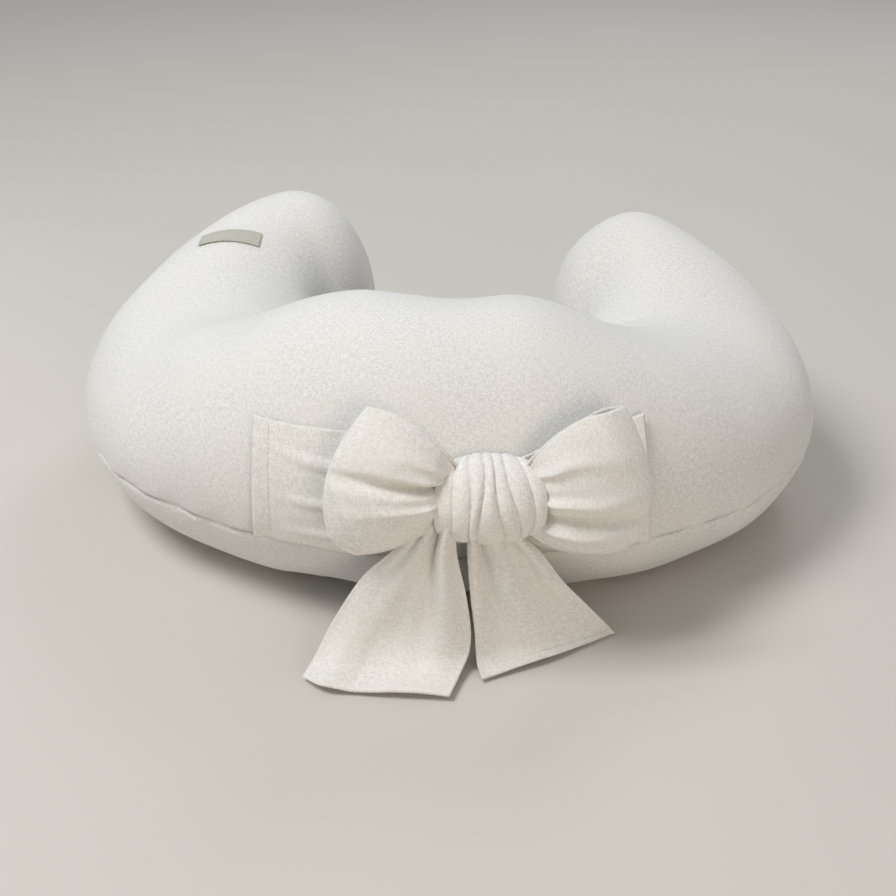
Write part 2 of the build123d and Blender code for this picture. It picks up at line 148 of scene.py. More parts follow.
class Wire:
    """One output of a node, with arithmetic that adds Math nodes."""

    def __init__(self, finish, socket):
        self.finish = finish
        self.socket = socket

    def __add__(self, other):
        return self.finish.math("ADD", self, other)

    __radd__ = __add__

    def __sub__(self, other):
        return self.finish.math("SUBTRACT", self, other)

    def __rsub__(self, other):
        return self.finish.math("SUBTRACT", other, self)

    def __mul__(self, other):
        return self.finish.math("MULTIPLY", self, other)

    __rmul__ = __mul__


class Finish:
    """A material being made, with one Principled shader."""

    def __init__(self, name, **shader):
        self.material = bpy.data.materials.new(name)
        self.material.use_nodes = True
        self.tree = self.material.node_tree
        self.tree.nodes.clear()
        output = self.tree.nodes.new("ShaderNodeOutputMaterial")
        self.shader = self.tree.nodes.new("ShaderNodeBsdfPrincipled")
        self.tree.links.new(self.shader.outputs["BSDF"], output.inputs["Surface"])
        for key, value in shader.items():
            self.shader.inputs[key.replace("_", " ")].default_value = value

    def node(self, kind, settings=(), sockets=(), output=0):
        """Any node: its settings first, then the values or links of its sockets."""
        made = self.tree.nodes.new(kind)
        for key, value in dict(settings).items():
            setattr(made, key, value)
        for key, value in dict(sockets).items():
            self.feed(made.inputs[key], value)
        return Wire(self, made.outputs[output])

    def feed(self, socket, value):
        """Link a wire to a socket, or set the socket to a value."""
        if isinstance(value, Wire):
            self.tree.links.new(value.socket, socket)
        else:
            socket.default_value = value

    def math(self, operation, *values):
        return self.node("ShaderNodeMath", {"operation": operation}, dict(enumerate(values)))

    def stretched(self, vector, scale):
        """A vector with its three parts scaled."""
        return self.node("ShaderNodeVectorMath", {"operation": "MULTIPLY"}, {0: vector, 1: scale})

    def noise(self, vector, scale=1.0, detail=2.0, roughness=0.5):
        sockets = {"Vector": vector, "Scale": scale, "Detail": detail, "Roughness": roughness}
        return self.node("ShaderNodeTexNoise", {"noise_dimensions": "3D"}, sockets, "Fac")

    def step(self, value, low, high):
        """A smooth step of a value from 0 at low to 1 at high."""
        settings = {"interpolation_type": "SMOOTHSTEP"}
        return self.node("ShaderNodeMapRange", settings, {"Value": value, "From Min": low, "From Max": high})

    def blend(self, share, first, second):
        """Mix of two colours or vectors."""
        settings = {"data_type": "RGBA"}
        return self.node("ShaderNodeMix", settings, {0: share, 6: first, 7: second}, 2)

    def choose(self, mask, first, second):
        """First vector where the mask is 0 and second where it is 1."""
        return self.node("ShaderNodeMix", {"data_type": "VECTOR"}, {0: mask, 4: first, 5: second}, 1)

    def parts(self, vector):
        """The three parts of a vector."""
        split = self.node("ShaderNodeSeparateXYZ", {}, {0: vector})
        return [Wire(self, split.socket.node.outputs[index]) for index in range(3)]

    def joined(self, x, y, z=0.0):
        return self.node("ShaderNodeCombineXYZ", {}, {0: x, 1: y, 2: z})

    def attribute(self, name):
        return self.node("ShaderNodeAttribute", {"attribute_name": name}, {}, "Vector")

    def bump(self, height, strength, distance):
        sockets = {"Height": height, "Strength": strength, "Distance": distance}
        return self.node("ShaderNodeBump", {}, sockets)

    def feed_shader(self, **sockets):
        for key, value in sockets.items():
            self.feed(self.shader.inputs[key.replace("_", " ")], value)
        return self.material


def tint(red, green, blue):
    return (red, green, blue, 1.0)


def shade(colour, factor):
    return tint(*(min(1.0, part * factor) for part in colour[:3]))


# ---------------------------------------------------------------------------------------------
# Finishes
# ---------------------------------------------------------------------------------------------

thread_pitch = 0.95 * MM


def along_cloth(finish):
    """Metres along the cloth, kept on its mesh."""
    return finish.attribute("weave")


def along_cover(finish):
    """Metres along the cover: as the cloth was cut flat on top, and upright on the walls."""
    x, y, z = finish.parts(along_cloth(finish))
    facing = finish.node("ShaderNodeNewGeometry", {}, {}, "Normal")
    sideways, frontways, upwards = [finish.math("ABSOLUTE", part) for part in finish.parts(facing)]
    on_side = finish.math("GREATER_THAN", sideways, frontways)
    on_top = finish.math("GREATER_THAN", upwards, 0.66)
    wall = finish.choose(on_side, finish.joined(x, z), finish.joined(y, z))
    return finish.choose(on_top, wall, finish.joined(x, y))


def woven(name, colour, warm, along=along_cloth, slub=1.0, pitch=thread_pitch, bump=0.35):
    """Plain weave with uneven threads and slubs both ways. Warm is the tint of the painted shade in the
    hollows between the threads, and of a random mottling.
    """
    finish = Finish(name, Sheen_Weight=0.22, Sheen_Roughness=0.45, Specular_IOR_Level=0.22)
    cloth = along(finish)
    fine = 1.0 / pitch
    warp = finish.noise(finish.stretched(cloth, (fine, 0.30 * fine, fine)), 1.0, 1.0)
    weft = finish.noise(finish.stretched(cloth, (0.30 * fine, fine, fine)), 1.0, 1.0)
    warp_slub = finish.noise(finish.stretched(cloth, (520.0, 26.0, 90.0)), 1.0, 2.0)
    weft_slub = finish.noise(finish.stretched(cloth, (24.0, 480.0, 90.0)), 1.0, 2.0)
    slubs = finish.step(warp_slub, 0.58, 0.72) + finish.step(weft_slub, 0.58, 0.72)
    cloudy = finish.noise(cloth, 22.0, 3.0)
    threads = 0.5 * (warp + weft)
    # painted shade: where the threads lie low the colour darkens towards the warm tint, as in the weave's
    # hollows
    depth = finish.step(threads, 0.34, 0.66)
    tone = finish.blend(depth, shade(warm, 0.86), colour)
    pale = finish.blend(slubs * (0.16 * slub), tone, shade(colour, 1.05))
    shaded = finish.blend(finish.step(cloudy, 0.35, 0.70) * 0.40, pale, warm)
    height = threads + slubs * (0.20 * slub)
    normal = finish.bump(height, bump, 0.6 * MM)
    rough = 0.86 + 0.08 * depth
    return finish.feed_shader(Base_Color=shaded, Roughness=rough, Normal=normal)


def cover_linen():
    return woven("cover_linen", tint(0.800, 0.800, 0.785), tint(0.755, 0.735, 0.690), along_cover)


def tie_linen():
    colour, warm = tint(0.835, 0.828, 0.808), tint(0.800, 0.770, 0.715)
    return woven("tie_linen", colour, warm, slub=0.6, pitch=0.85 * MM, bump=0.45)


def case_cotton():
    return woven("case_cotton", tint(0.82, 0.81, 0.78), tint(0.77, 0.75, 0.71), slub=0.3, pitch=0.7 * MM)


def label_weave():
    return woven("label_weave", tint(0.56, 0.545, 0.49), tint(0.47, 0.45, 0.39), slub=0.2, pitch=0.5 * MM)


def label_satin():
    finish = Finish("label_satin", Sheen_Weight=0.1, Specular_IOR_Level=0.5)
    cloth = along_cloth(finish)
    ribs = finish.noise(finish.stretched(cloth, (160.0, 3200.0, 160.0)), 1.0, 1.0)
    cloudy = finish.noise(cloth, 60.0, 2.0)
    colour = finish.blend(ribs, tint(0.80, 0.80, 0.79), tint(0.88, 0.88, 0.87))
    rough = 0.36 + 0.16 * cloudy
    normal = finish.bump(ribs, 0.3, 0.2 * MM)
    return finish.feed_shader(Base_Color=colour, Roughness=rough, Normal=normal)


def filling_fibre():
    finish = Finish("filling_fibre", Sheen_Weight=0.4, Sheen_Roughness=0.6)
    place = finish.node("ShaderNodeTexCoord", {}, {}, "Object")
    tufts = finish.noise(place, 60.0, 5.0, 0.65)
    colour = finish.blend(finish.step(tufts, 0.35, 0.65), tint(0.80, 0.80, 0.79), tint(0.90, 0.90, 0.89))
    normal = finish.bump(tufts, 0.8, 4.0 * MM)
    return finish.feed_shader(Base_Color=colour, Roughness=0.80 + 0.15 * tufts, Normal=normal)


def moulded_plastic():
    finish = Finish("zip_plastic", Specular_IOR_Level=0.45)
    place = finish.node("ShaderNodeTexCoord", {}, {}, "Object")
    cloudy = finish.noise(place, 700.0, 2.0)
    colour = finish.blend(cloudy, tint(0.70, 0.69, 0.66), tint(0.76, 0.75, 0.72))
    normal = finish.bump(cloudy, 0.15, 0.1 * MM)
    return finish.feed_shader(Base_Color=colour, Roughness=0.34 + 0.14 * cloudy, Normal=normal)


def enamelled_metal():
    """Off-white enamel on a die-cast slider, worn a little where it is handled."""
    finish = Finish("zip_enamel", Coat_Roughness=0.2)
    place = finish.node("ShaderNodeTexCoord", {}, {}, "Object")
    speckle = finish.noise(place, 1400.0, 3.0)
    patches = finish.noise(place, 260.0, 3.0)
    worn = finish.step(patches, 0.66, 0.72)
    enamel = finish.blend(speckle, tint(0.69, 0.68, 0.65), tint(0.75, 0.74, 0.71))
    colour = finish.blend(worn, enamel, tint(0.55, 0.54, 0.52))
    rough = 0.26 + 0.16 * speckle + 0.1 * worn
    normal = finish.bump(speckle, 0.12, 0.1 * MM)
    finish.feed_shader(Metallic=0.75 * worn, Coat_Weight=0.4 * (1.0 - worn))
    return finish.feed_shader(Base_Color=colour, Roughness=rough, Normal=normal)


def sewing_thread():
    finish = Finish("sewing_thread", Sheen_Weight=0.3)
    place = finish.node("ShaderNodeTexCoord", {}, {}, "Object")
    twist = finish.noise(place, 2600.0, 1.0)
    colour = finish.blend(twist, tint(0.56, 0.53, 0.48), tint(0.72, 0.69, 0.64))
    return finish.feed_shader(Base_Color=colour, Roughness=0.55 + 0.2 * twist)


def pale_floor():
    finish = Finish("pale_floor", Specular_IOR_Level=0.2)
    place = finish.node("ShaderNodeTexCoord", {}, {}, "Object")
    cloudy = finish.noise(place, 1.6, 2.0)
    colour = finish.blend(cloudy, tint(0.60, 0.565, 0.52), tint(0.64, 0.605, 0.56))
    return finish.feed_shader(Base_Color=colour, Roughness=0.75 + 0.1 * cloudy)


linen = cover_linen()
strap_linen = tie_linen()
cotton = case_cotton()
woven_label = label_weave()
satin = label_satin()
fibre = filling_fibre()
plastic = moulded_plastic()
enamel = enamelled_metal()
thread = sewing_thread()

# ---------------------------------------------------------------------------------------------
# Mesh helpers
# ---------------------------------------------------------------------------------------------


def linked(name, data):
    """An object of the scene that shows some data."""
    made = bpy.data.objects.new(name, data)
    bpy.context.scene.collection.objects.link(made)
    return made


def add_object(name, points, faces, material, weave=None, smooth=True):
    """A mesh object with its cloth coordinates kept on its points."""
    mesh = bpy.data.meshes.new(name)
    mesh.from_pydata([tuple(point) for point in points], [], faces)
    mesh.validate()
    if weave is not None:
        layer = mesh.attributes.new("weave", "FLOAT_VECTOR", "POINT")
        layer.data.foreach_set("vector", np.asarray(weave, np.float32).ravel())
    mesh.polygons.foreach_set("use_smooth", [smooth] * len(mesh.polygons))
    mesh.materials.append(material)
    return linked(name, mesh)


def wire_curve(name, radius, material):
    """An empty curve with a round section."""
    curve = bpy.data.curves.new(name, "CURVE")
    curve.dimensions = "3D"
    curve.bevel_depth = radius
    curve.bevel_resolution = 1
    curve.use_fill_caps = True
    curve.materials.append(material)
    return curve


def grid_faces(rows, columns):
    """Quads of a grid of rows x columns points."""
    faces = []
    for row in range(rows - 1):
        for column in range(columns - 1):
            first = row * columns + column
            second = first + columns
            faces.append((first, second, second + 1, first + 1))
    return faces


def grid_normals(grid):
    """Unit normals of a grid of points, rows x columns x 3, facing rows cross columns."""
    normal = np.cross(np.gradient(grid, axis=0), np.gradient(grid, axis=1))
    return normal / np.maximum(np.linalg.norm(normal, axis=2, keepdims=True), 1e-12)


def arc_lengths(grid, axis):
    """Running length along one axis of a grid, averaged over the other."""
    steps = np.linalg.norm(np.diff(grid, axis=axis), axis=2)
    mean = steps.mean(axis=1 - axis)
    return np.concatenate([[0.0], np.cumsum(mean)])


def cloth_coordinates(grid, offset):
    """Metres along the cloth for each point of a grid, with an offset that keeps pieces apart."""
    rows = arc_lengths(grid, 0)
    columns = arc_lengths(grid, 1)
    weave = np.zeros(grid.shape)
    weave[..., 0] = rows[:, None] + offset
    weave[..., 1] = columns[None, :] + 2.0 * offset
    weave[..., 2] = offset
    return weave.reshape(-1, 3)


def thicken(piece, thickness):
    """Give a surface its thickness, on the side away from its normals."""
    solid = piece.modifiers.new("thickness", "SOLIDIFY")
    solid.thickness = thickness
    solid.offset = -1.0
    solid.use_rim = True
    return piece


def strip(name, grid, material, thickness, weave_offset):
    """A piece of cloth from a grid of points on one of its faces."""
    points = grid.reshape(-1, 3)
    faces = grid_faces(grid.shape[0], grid.shape[1])
    piece = add_object(name, points, faces, material, cloth_coordinates(grid, weave_offset))
    return thicken(piece, thickness)


def wander(position, seed, wavelength, waves=5):
    """A smooth random curve of about unit height along a position."""
    random = np.random.default_rng(seed)
    total = np.zeros_like(position)
    for _ in range(waves):
        stretch = wavelength * random.uniform(0.6, 1.7)
        total = total + np.sin(2.0 * pi * position / stretch + random.uniform(0.0, 2.0 * pi))
    return total / sqrt(0.5 * waves)


# ---------------------------------------------------------------------------------------------
# Cover: a grid of points round the section (rows) and along the U (columns)
# ---------------------------------------------------------------------------------------------

nose_columns = 22
body_columns = 248
crown_rows = 112
base_rows = 62


def column_list(body_count, nose_count):
    """Each column is a run along the centreline and a share of the way over the nose of that arm."""
    nose = [(step / nose_count) for step in range(1, nose_count + 1)]
    runs = list(np.linspace(-left_run, right_run, body_count))
    # columns stand at both ends of the zip
    for end in (-zip_half_turn, zip_half_turn):
        nearest = int(np.argmin([abs(run - end * middle_radius) for run in runs]))
        runs[nearest] = end * middle_radius
    columns = [(-left_run, share) for share in reversed(nose)]
    columns += [(run, 0.0) for run in runs]
    columns += [(right_run, share) for share in nose]
    return columns


def panel_shares(count):
    """Shares of the way round a panel, close together beside its seams."""
    near = [0.0, 0.0045, 0.0100, 0.0170]
    middle = list(np.linspace(0.0255, 1.0 - 0.0255, count - 2 * len(near)))
    return np.array(near + middle + [1.0 - share for share in reversed(near)])


def section_points(run, nose, shares, top):
    """Points round one section of a panel, from the outer seam to the inner one."""
    width, height, centre = section_sizes(run)
    middle, outward, forward = centreline(run)
    side = -1.0 if run < 0 else 1.0
    seam_rise = (seam_z - centre) / height
    seam_angle = np.arcsin(seam_rise)
    if top:
        angles = seam_angle + shares * (pi - 2.0 * seam_angle)
    else:
        angles = seam_angle - shares * (pi + 2.0 * seam_angle)
    across = np.cos(angles)
    rise = np.sin(angles)
    ahead = np.zeros_like(angles)
    if nose > 0.0:
        # over the nose the rows run together at the seam's end
        away = np.arccos(np.clip(rise * seam_rise, -1.0, 1.0))
        from_section = np.sin((1.0 - nose) * away) / np.sin(away)
        from_end = np.sin(nose * away) / np.sin(away)
        seam_away = np.arccos(seam_rise**2)
        seam_now = (sin((1.0 - nose) * seam_away) + sin(nose * seam_away)) * seam_rise / sin(seam_away)
        span = 1.0 - seam_rise if top else 1.0 + seam_rise
        near_seam = eased(1.0 - np.abs(rise - seam_rise) / span)
        rise = rise * from_section + seam_rise * from_end + (seam_rise - seam_now) * near_seam
        ahead = sqrt(1.0 - seam_rise**2) * from_end
        across = np.sign(across) * np.sqrt(np.clip(1.0 - rise**2 - ahead**2, 0.0, None))
    plan = middle + outward * (width * across)[:, None] + forward * (side * tip_length * ahead)[:, None]
    level = np.maximum(centre + height * rise, 0.0)
    return np.column_stack([plan, level])


def panel_grid(columns, shares, top):
    """Points of a panel: rows from the outer seam to the inner one, columns along the U."""
    return np.stack([section_points(run, nose, shares, top) for run, nose in columns], axis=1)


columns = column_list(body_columns, nose_columns)
crown_shares = panel_shares(crown_rows)
base_shares = panel_shares(base_rows)
crown_grid = panel_grid(columns, crown_shares, True)
base_grid = panel_grid(columns, base_shares, False)
runs = np.array([run for run, nose in columns])
noses = np.array([nose for run, nose in columns])

# ---------------------------------------------------------------------------------------------
# Filling the cover: cloth simulation on a coarser copy
# ---------------------------------------------------------------------------------------------

fill_pressure = 3.0
fill_frames = 20
fill_start_inset = 2.0 * MM
fill_cap = 3.0 * MM


def whole_skin(crown, base):
    """Points and faces of the closed skin, with shared seam rows and noses."""
    rows = crown.shape[0] + base.shape[0] - 2
    count = crown.shape[1]
    ring = np.concatenate([crown, base[-2:0:-1]], axis=0)
    points = [ring[0, 0], ring[0, -1]]
    points += list(ring[:, 1:-1].transpose(1, 0, 2).reshape(-1, 3))
    faces = []
    for column in range(count - 3):
        for row in range(rows):
            first = 2 + column * rows + row
            second = 2 + column * rows + (row + 1) % rows
            faces.append((first, first + rows, second + rows, second))
    last = 2 + (count - 3) * rows
    for row in range(rows):
        after = (row + 1) % rows
        faces.append((0, 2 + row, 2 + after))
        faces.append((1, last + after, last + row))
    return np.array(points), faces, rows


def outward_normals(piece):
    """Normals of a mesh's points."""
    normals = np.zeros(len(piece.data.vertices) * 3, np.float32)
    piece.data.vertices.foreach_get("normal", normals)
    return normals.reshape(-1, 3).astype(float)


def zip_share(points):
    """1 on the wall round the zip and 0 away from it."""
    from_arc = np.hypot(points[:, 0], points[:, 1] - arc_y)
    turn = np.arctan2(points[:, 0], arc_y - points[:, 1])
    beside_zip = 1.0 - eased((np.abs(turn) - zip_half_turn - radians(1.5)) / radians(7.0))
    near_zip = 1.0 - eased((np.abs(points[:, 2] - seam_z) - 27.0 * MM) / (20.0 * MM))
    return beside_zip * near_zip * (from_arc < middle_radius - 0.05)


def held_share(points):
    """1 where the skin is held still, on the floor and round the zip, and 0 elsewhere."""
    on_floor = 1.0 - eased((points[:, 2] - 1.0 * MM) / (9.0 * MM))
    return np.maximum(zip_share(points), on_floor)


def wall_profile():
    """Heights and distances from the arc's centre up the inner wall of the middle."""
    width, height, centre = section_sizes(0.0)
    levels = np.linspace(seam_z - 0.05, seam_z + 0.05, 41)
    return levels, middle_radius - width * np.sqrt(1.0 - ((levels - centre) / height) ** 2)


def even_zip_wall(grid):
    """The grid with the same wall all along the zip, so that the slider and pull clear it."""
    points = grid.reshape(-1, 3).copy()
    away = points[:, :2] - np.array([0.0, arc_y])
    radius = np.maximum(np.linalg.norm(away, axis=1), 1e-6)
    wanted = np.interp(points[:, 2], *wall_profile())
    scale = 1.0 + (wanted / radius - 1.0) * zip_share(points)
    points[:, :2] = np.array([0.0, arc_y]) + away * scale[:, None]
    return points.reshape(grid.shape)


def filled_offsets():
    """How far the filling moves each point of a coarse grid, as crown and base grids of vectors."""
    coarse_columns = column_list(124, 11)
    crown_coarse = panel_shares(60)
    base_coarse = panel_shares(36)
    crown = panel_grid(coarse_columns, crown_coarse, True)
    base = panel_grid(coarse_columns, base_coarse, False)
    points, faces, rows = whole_skin(even_zip_wall(crown), even_zip_wall(base))
    skin = add_object("skin_to_fill", points, faces, linen)
    normals = outward_normals(skin)
    start = points - normals * fill_start_inset
    start[:, 2] = np.maximum(start[:, 2], 0.0)
    held = held_share(points)
    start = np.where(held[:, None] > 0.5, points, start)
    skin.data.vertices.foreach_set("co", start.ravel())
    pins = skin.vertex_groups.new(name="held")
    for index, weight in enumerate(held):
        pins.add([index], float(weight > 0.5), "REPLACE")
    cloth = skin.modifiers.new("cloth", "CLOTH")
    settings = cloth.settings
    settings.quality = 6
    settings.mass = 0.15
    settings.tension_stiffness = 22.0
    settings.compression_stiffness = 6.0
    settings.shear_stiffness = 4.0
    settings.bending_stiffness = 0.15
    settings.shrink_min = -0.035
    settings.use_pressure = True
    settings.uniform_pressure_force = fill_pressure
    settings.vertex_group_mass = "held"
    settings.effector_weights.gravity = 0.0
    scene = bpy.context.scene
    cloth.point_cache.frame_start = 1
    cloth.point_cache.frame_end = fill_frames
    for step in range(1, fill_frames + 1):
        scene.frame_set(step)
    settled = skin.evaluated_get(bpy.context.evaluated_depsgraph_get())
    reached = np.zeros(len(points) * 3, np.float32)
    settled.data.vertices.foreach_get("co", reached)
    scene.frame_set(1)
    moved = reached.reshape(-1, 3) - points
    # keep the uneven part: the even swelling is in the sizes already
    swelling = np.sum(moved * normals, axis=1)
    moved = moved - normals * np.mean(swelling[held < 0.5])
    length = np.linalg.norm(moved, axis=1, keepdims=True)
    moved = moved * np.minimum(1.0, fill_cap / np.maximum(length, 1e-9)) * (1.0 - held[:, None])
    bpy.data.objects.remove(skin)
    count = len(coarse_columns)
    ring = np.zeros((rows, count, 3))
    ring[:, 1:-1] = moved[2:].reshape(count - 2, rows, 3).transpose(1, 0, 2)
    ring[:, 0] = moved[0]
    ring[:, -1] = moved[1]
    crown_part = ring[: len(crown_coarse)]
    base_part = np.concatenate([ring[:1], ring[: len(crown_coarse) - 2 : -1]], axis=0)
    along = np.linspace(0.0, 1.0, count)
    return along, crown_coarse, crown_part, base_coarse, base_part


def refined(field, rows_from, columns_from, rows_to, columns_to):
    """A coarse grid of vectors read at finer rows and columns."""
    by_row = np.stack(
        [[np.interp(rows_to, rows_from, field[:, column, axis]) for column in range(field.shape[1])]
         for axis in range(3)], axis=2)
    by_row = by_row.transpose(1, 0, 2)
    both = np.stack(
        [[np.interp(columns_to, columns_from, by_row[row, :, axis]) for row in range(by_row.shape[0])]
         for axis in range(3)], axis=2)
    return both


crown_grid = even_zip_wall(crown_grid)
base_grid = even_zip_wall(base_grid)
coarse_along, crown_from, crown_moved, base_from, base_moved = filled_offsets()
fine_along = np.linspace(0.0, 1.0, len(columns))
crown_grid = crown_grid + refined(crown_moved, crown_from, coarse_along, crown_shares, fine_along)
base_grid = base_grid + refined(base_moved, base_from, coarse_along, base_shares, fine_along)

# ---------------------------------------------------------------------------------------------
# Surface detail of the cover: lumps of filling, creases at the inner corners and the seam
# ---------------------------------------------------------------------------------------------

# Creases over the arms, each fanned from the tight inner curve: run along the centreline in mm, share of
# the way round the top panel where it starts and where it fades, depth in mm, width in mm and slant in mm
left_creases = (
    (-176.0, 0.99, 0.52, 3.4, 5.0, -26.0),
    (-205.0, 0.99, 0.60, 2.6, 5.0, -20.0),
    (-228.0, 0.98, 0.66, 2.2, 4.5, -10.0),
    (-151.0, 0.99, 0.62, 2.4, 5.5, -6.0),
    (-255.0, 0.98, 0.70, 1.8, 4.5, 6.0),
    (-130.0, 0.98, 0.70, 1.6, 5.5, 10.0),
    (-290.0, 0.97, 0.74, 1.5, 5.0, 12.0),
)
right_creases = (
    (172.0, 0.99, 0.50, 3.2, 5.0, 30.0),
    (196.0, 0.99, 0.55, 3.0, 4.5, 34.0),
    (222.0, 0.98, 0.62, 2.4, 4.5, 22.0),
    (148.0, 0.99, 0.64, 2.2, 5.5, 8.0),
    (250.0, 0.98, 0.70, 1.8, 4.5, 10.0),
    (281.0, 0.97, 0.74, 1.6, 5.0, -6.0),
    (128.0, 0.98, 0.72, 1.4, 5.5, -8.0),
)


def crease_depth(shares):
    """Depth of the listed creases over the top panel."""
    depth = np.zeros((len(shares), len(runs)))
    for index, (run, start, end, deep, width, slant) in enumerate(left_creases + right_creases):
        gone = (start - shares) / (start - end)
        strength = eased(gone / 0.12) * (1.0 - eased((gone - 0.45) / 0.55))
        line = run * MM + slant * MM * np.clip(gone, 0.0, 1.2) ** 1.4
        line = line + 1.6 * MM * wander(shares, 40 + index, 0.21)
        off = runs[None, :] - line[:, None]
        spread = width * MM * (0.7 + 0.9 * np.clip(gone, 0.0, 1.0))[:, None]
        fold = bell(off, spread) - 0.55 * bell(off - 2.0 * spread, 1.3 * spread)
        depth += 1.5 * deep * MM * strength[:, None] * fold * (noses == 0.0)[None, :]
    return depth


def filling_lumps(grid):
    """Slow uneven swelling of the fibre under the cloth."""
    x, y, z = grid[..., 0], grid[..., 1], grid[..., 2]
    lumps = np.sin(x * 46.0 + 1.3) * np.sin(y * 39.0 + 0.4) + 0.7 * np.sin(x * 71.0 + z * 37.0 + 2.0)
    lumps = lumps + 0.6 * np.sin(y * 83.0 - z * 52.0 + 0.7) * np.sin(x * 29.0)
    return 0.9 * MM * lumps


def seam_pull(shares, seed):
    """How far the seam draws the cloth in, with short puckers across it on both of a panel's edges."""
    total = np.zeros((len(shares), len(runs)))
    strength = 0.45 + 0.35 * wander(runs, seed, 0.16)
    front_right = bell(runs - 0.155, 0.06) + 0.5 * bell(runs + 0.145, 0.07)
    strength = np.clip(strength, 0.12, 1.0) + 0.9 * front_right
    for edge, share in enumerate((shares, 1.0 - shares)):
        away = share * 0.34
        groove = 1.9 * MM * bell(away, 2.2 * MM)
        pucker_line = wander(runs, seed + 3 + edge, 0.019, 4)
        reach = 8.0 * MM + 7.0 * MM * np.clip(wander(runs, seed + 7 + edge, 0.05), 0.0, 1.0)
        puckers = np.clip(pucker_line, -1.2, 1.2)[None, :] * bell(away[:, None], reach[None, :])
        puckers = puckers * eased(away / (2.5 * MM))[:, None]
        total += 0.8 * MM * puckers * strength[None, :] - groove[:, None]
    return total


def finish_panel(grid, shares, top):
    """The panel with its surface detail, as a new grid."""
    normals = grid_normals(grid)
    if top:
        normals = -normals
    still = held_share(grid.reshape(-1, 3)).reshape(grid.shape[:2])
    into_nose = 1.0 - eased((noses - 0.55) / 0.45)
    detail = filling_lumps(grid) * into_nose[None, :]
    detail += seam_pull(shares, 11 if top else 23) * into_nose[None, :]
    if top:
        detail -= crease_depth(shares)
    shaped = grid + normals * (detail * (1.0 - still))[..., None]
    shaped[..., 2] = np.maximum(shaped[..., 2], 0.0)
    return shaped


slot_rows = 6


def open_zip_slot(crown, base):
    """Part the panels' inner seam rows along the zip, by the slot's half width each way."""
    turn = runs / middle_radius
    inside = (np.abs(turn) <= zip_half_turn + 1e-6) & (noses == 0.0)
    rise = np.linspace(1.0, 0.0, slot_rows)
    blend = eased(rise)
    levels, reaches = wall_profile()
    for grid, direction in ((crown, 1.0), (base, -1.0)):
        edge = seam_z + direction * zip_half_gap
        for column in np.flatnonzero(inside):
            outer = grid[-slot_rows, column].copy()
            level = edge + (outer[2] - edge) * rise
            start = np.hypot(outer[0], outer[1] - arc_y)
            radius = blend * start + (1.0 - blend) * np.interp(level, levels, reaches)
            grid[-slot_rows:, column, 0] = radius * sin(turn[column])
            grid[-slot_rows:, column, 1] = arc_y - radius * cos(turn[column])
            grid[-slot_rows:, column, 2] = level


smooth_crown = crown_grid.copy()
smooth_base = base_grid.copy()
crown_grid = finish_panel(crown_grid, crown_shares, True)
base_grid = finish_panel(base_grid, base_shares, False)
seam_rows = 0.5 * (crown_grid[[0, -1]] + base_grid[[0, -1]])
crown_grid[[0, -1]] = seam_rows
base_grid[[0, -1]] = seam_rows
open_zip_slot(crown_grid, base_grid)


def panel_piece(name, grid, top):
    """A cover panel with its noses closed to single points."""
    rows, count = grid.shape[:2]
    inner = grid[:, 1:-1].transpose(1, 0, 2).reshape(-1, 3)
    points = np.concatenate([grid[:1, 0], grid[:1, -1], inner])
    faces = []
    last = 2 + (count - 3) * rows
    for row in range(rows - 1):
        for column in range(count - 3):
            first = 2 + column * rows + row
            faces.append((first, first + rows, first + rows + 1, first + 1))
        faces.append((0, 2 + row, 3 + row))
        faces.append((1, last + row + 1, last + row))
    if not top:
        faces = [tuple(reversed(face)) for face in faces]
    piece = add_object(name, points, faces, linen, points)
    thicken(piece, cover_thickness)
    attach(piece, "pillow")
    return piece


cover_top = panel_piece("cover_top", crown_grid, True)
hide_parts("cover_top_panel")
cover_base = panel_piece("cover_base", base_grid, False)
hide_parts("cover_bottom_panel")

# ---------------------------------------------------------------------------------------------
# Inner case and filling: the smooth skin set inwards
# ---------------------------------------------------------------------------------------------


def inset_skin(name, inset, material, parts):
    """Pieces of the smooth skin, set inwards and further in behind the zip."""
    points, faces, rows = whole_skin(smooth_crown[::2, ::2], smooth_base[::2, ::2])
    skin = add_object("skin_for_" + name, points, faces, material)
    normals = outward_normals(skin)
    bpy.data.objects.remove(skin)
    near_zip = held_share(points) * (points[:, 2] > 0.03)
    inner = points - normals * (inset + 4.0 * MM * near_zip)[:, None]
    inner[:, 2] = np.maximum(inner[:, 2], inset)
    made = []
    for part, keep in parts:
        middle = np.array([np.mean([inner[index][2] for index in face]) for face in faces])
        kept = [face for face, level in zip(faces, middle) if keep(level)]
        used = sorted({index for face in kept for index in face})
        order = {index: place for place, index in enumerate(used)}
        renumbered = [tuple(order[index] for index in face) for face in kept]
        piece = add_object(part, inner[used], renumbered, material, inner[used])
        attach(piece, "pillow")
        made.append(piece)
    return made


case_parts = (("case_top", lambda level: level >= seam_z), ("case_bottom", lambda level: level < seam_z))
for case_piece in inset_skin("case", 5.0 * MM, cotton, case_parts):
    thicken(case_piece, 0.8 * MM)
    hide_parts("inner_case_" + case_piece.name.split("_")[1])
filling_parts = (("filling", lambda level: True),)
filling = inset_skin("filling", 6.4 * MM, fibre, filling_parts)[0]
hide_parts("fibre_filling")

# ---------------------------------------------------------------------------------------------
# Laying cloth on the cover
# ---------------------------------------------------------------------------------------------


def skin_tree():
    """Search tree of the finished cover, for laying straps, labels and stitches on it."""
    points = []
    faces = []
    for grid in (crown_grid, base_grid):
        start = len(points)
        points += [tuple(point) for point in grid.reshape(-1, 3)]
        faces += [tuple(start + index for index in face) for face in grid_faces(*grid.shape[:2])]
    return BVHTree.FromPolygons(points, faces)


cover_tree = skin_tree()


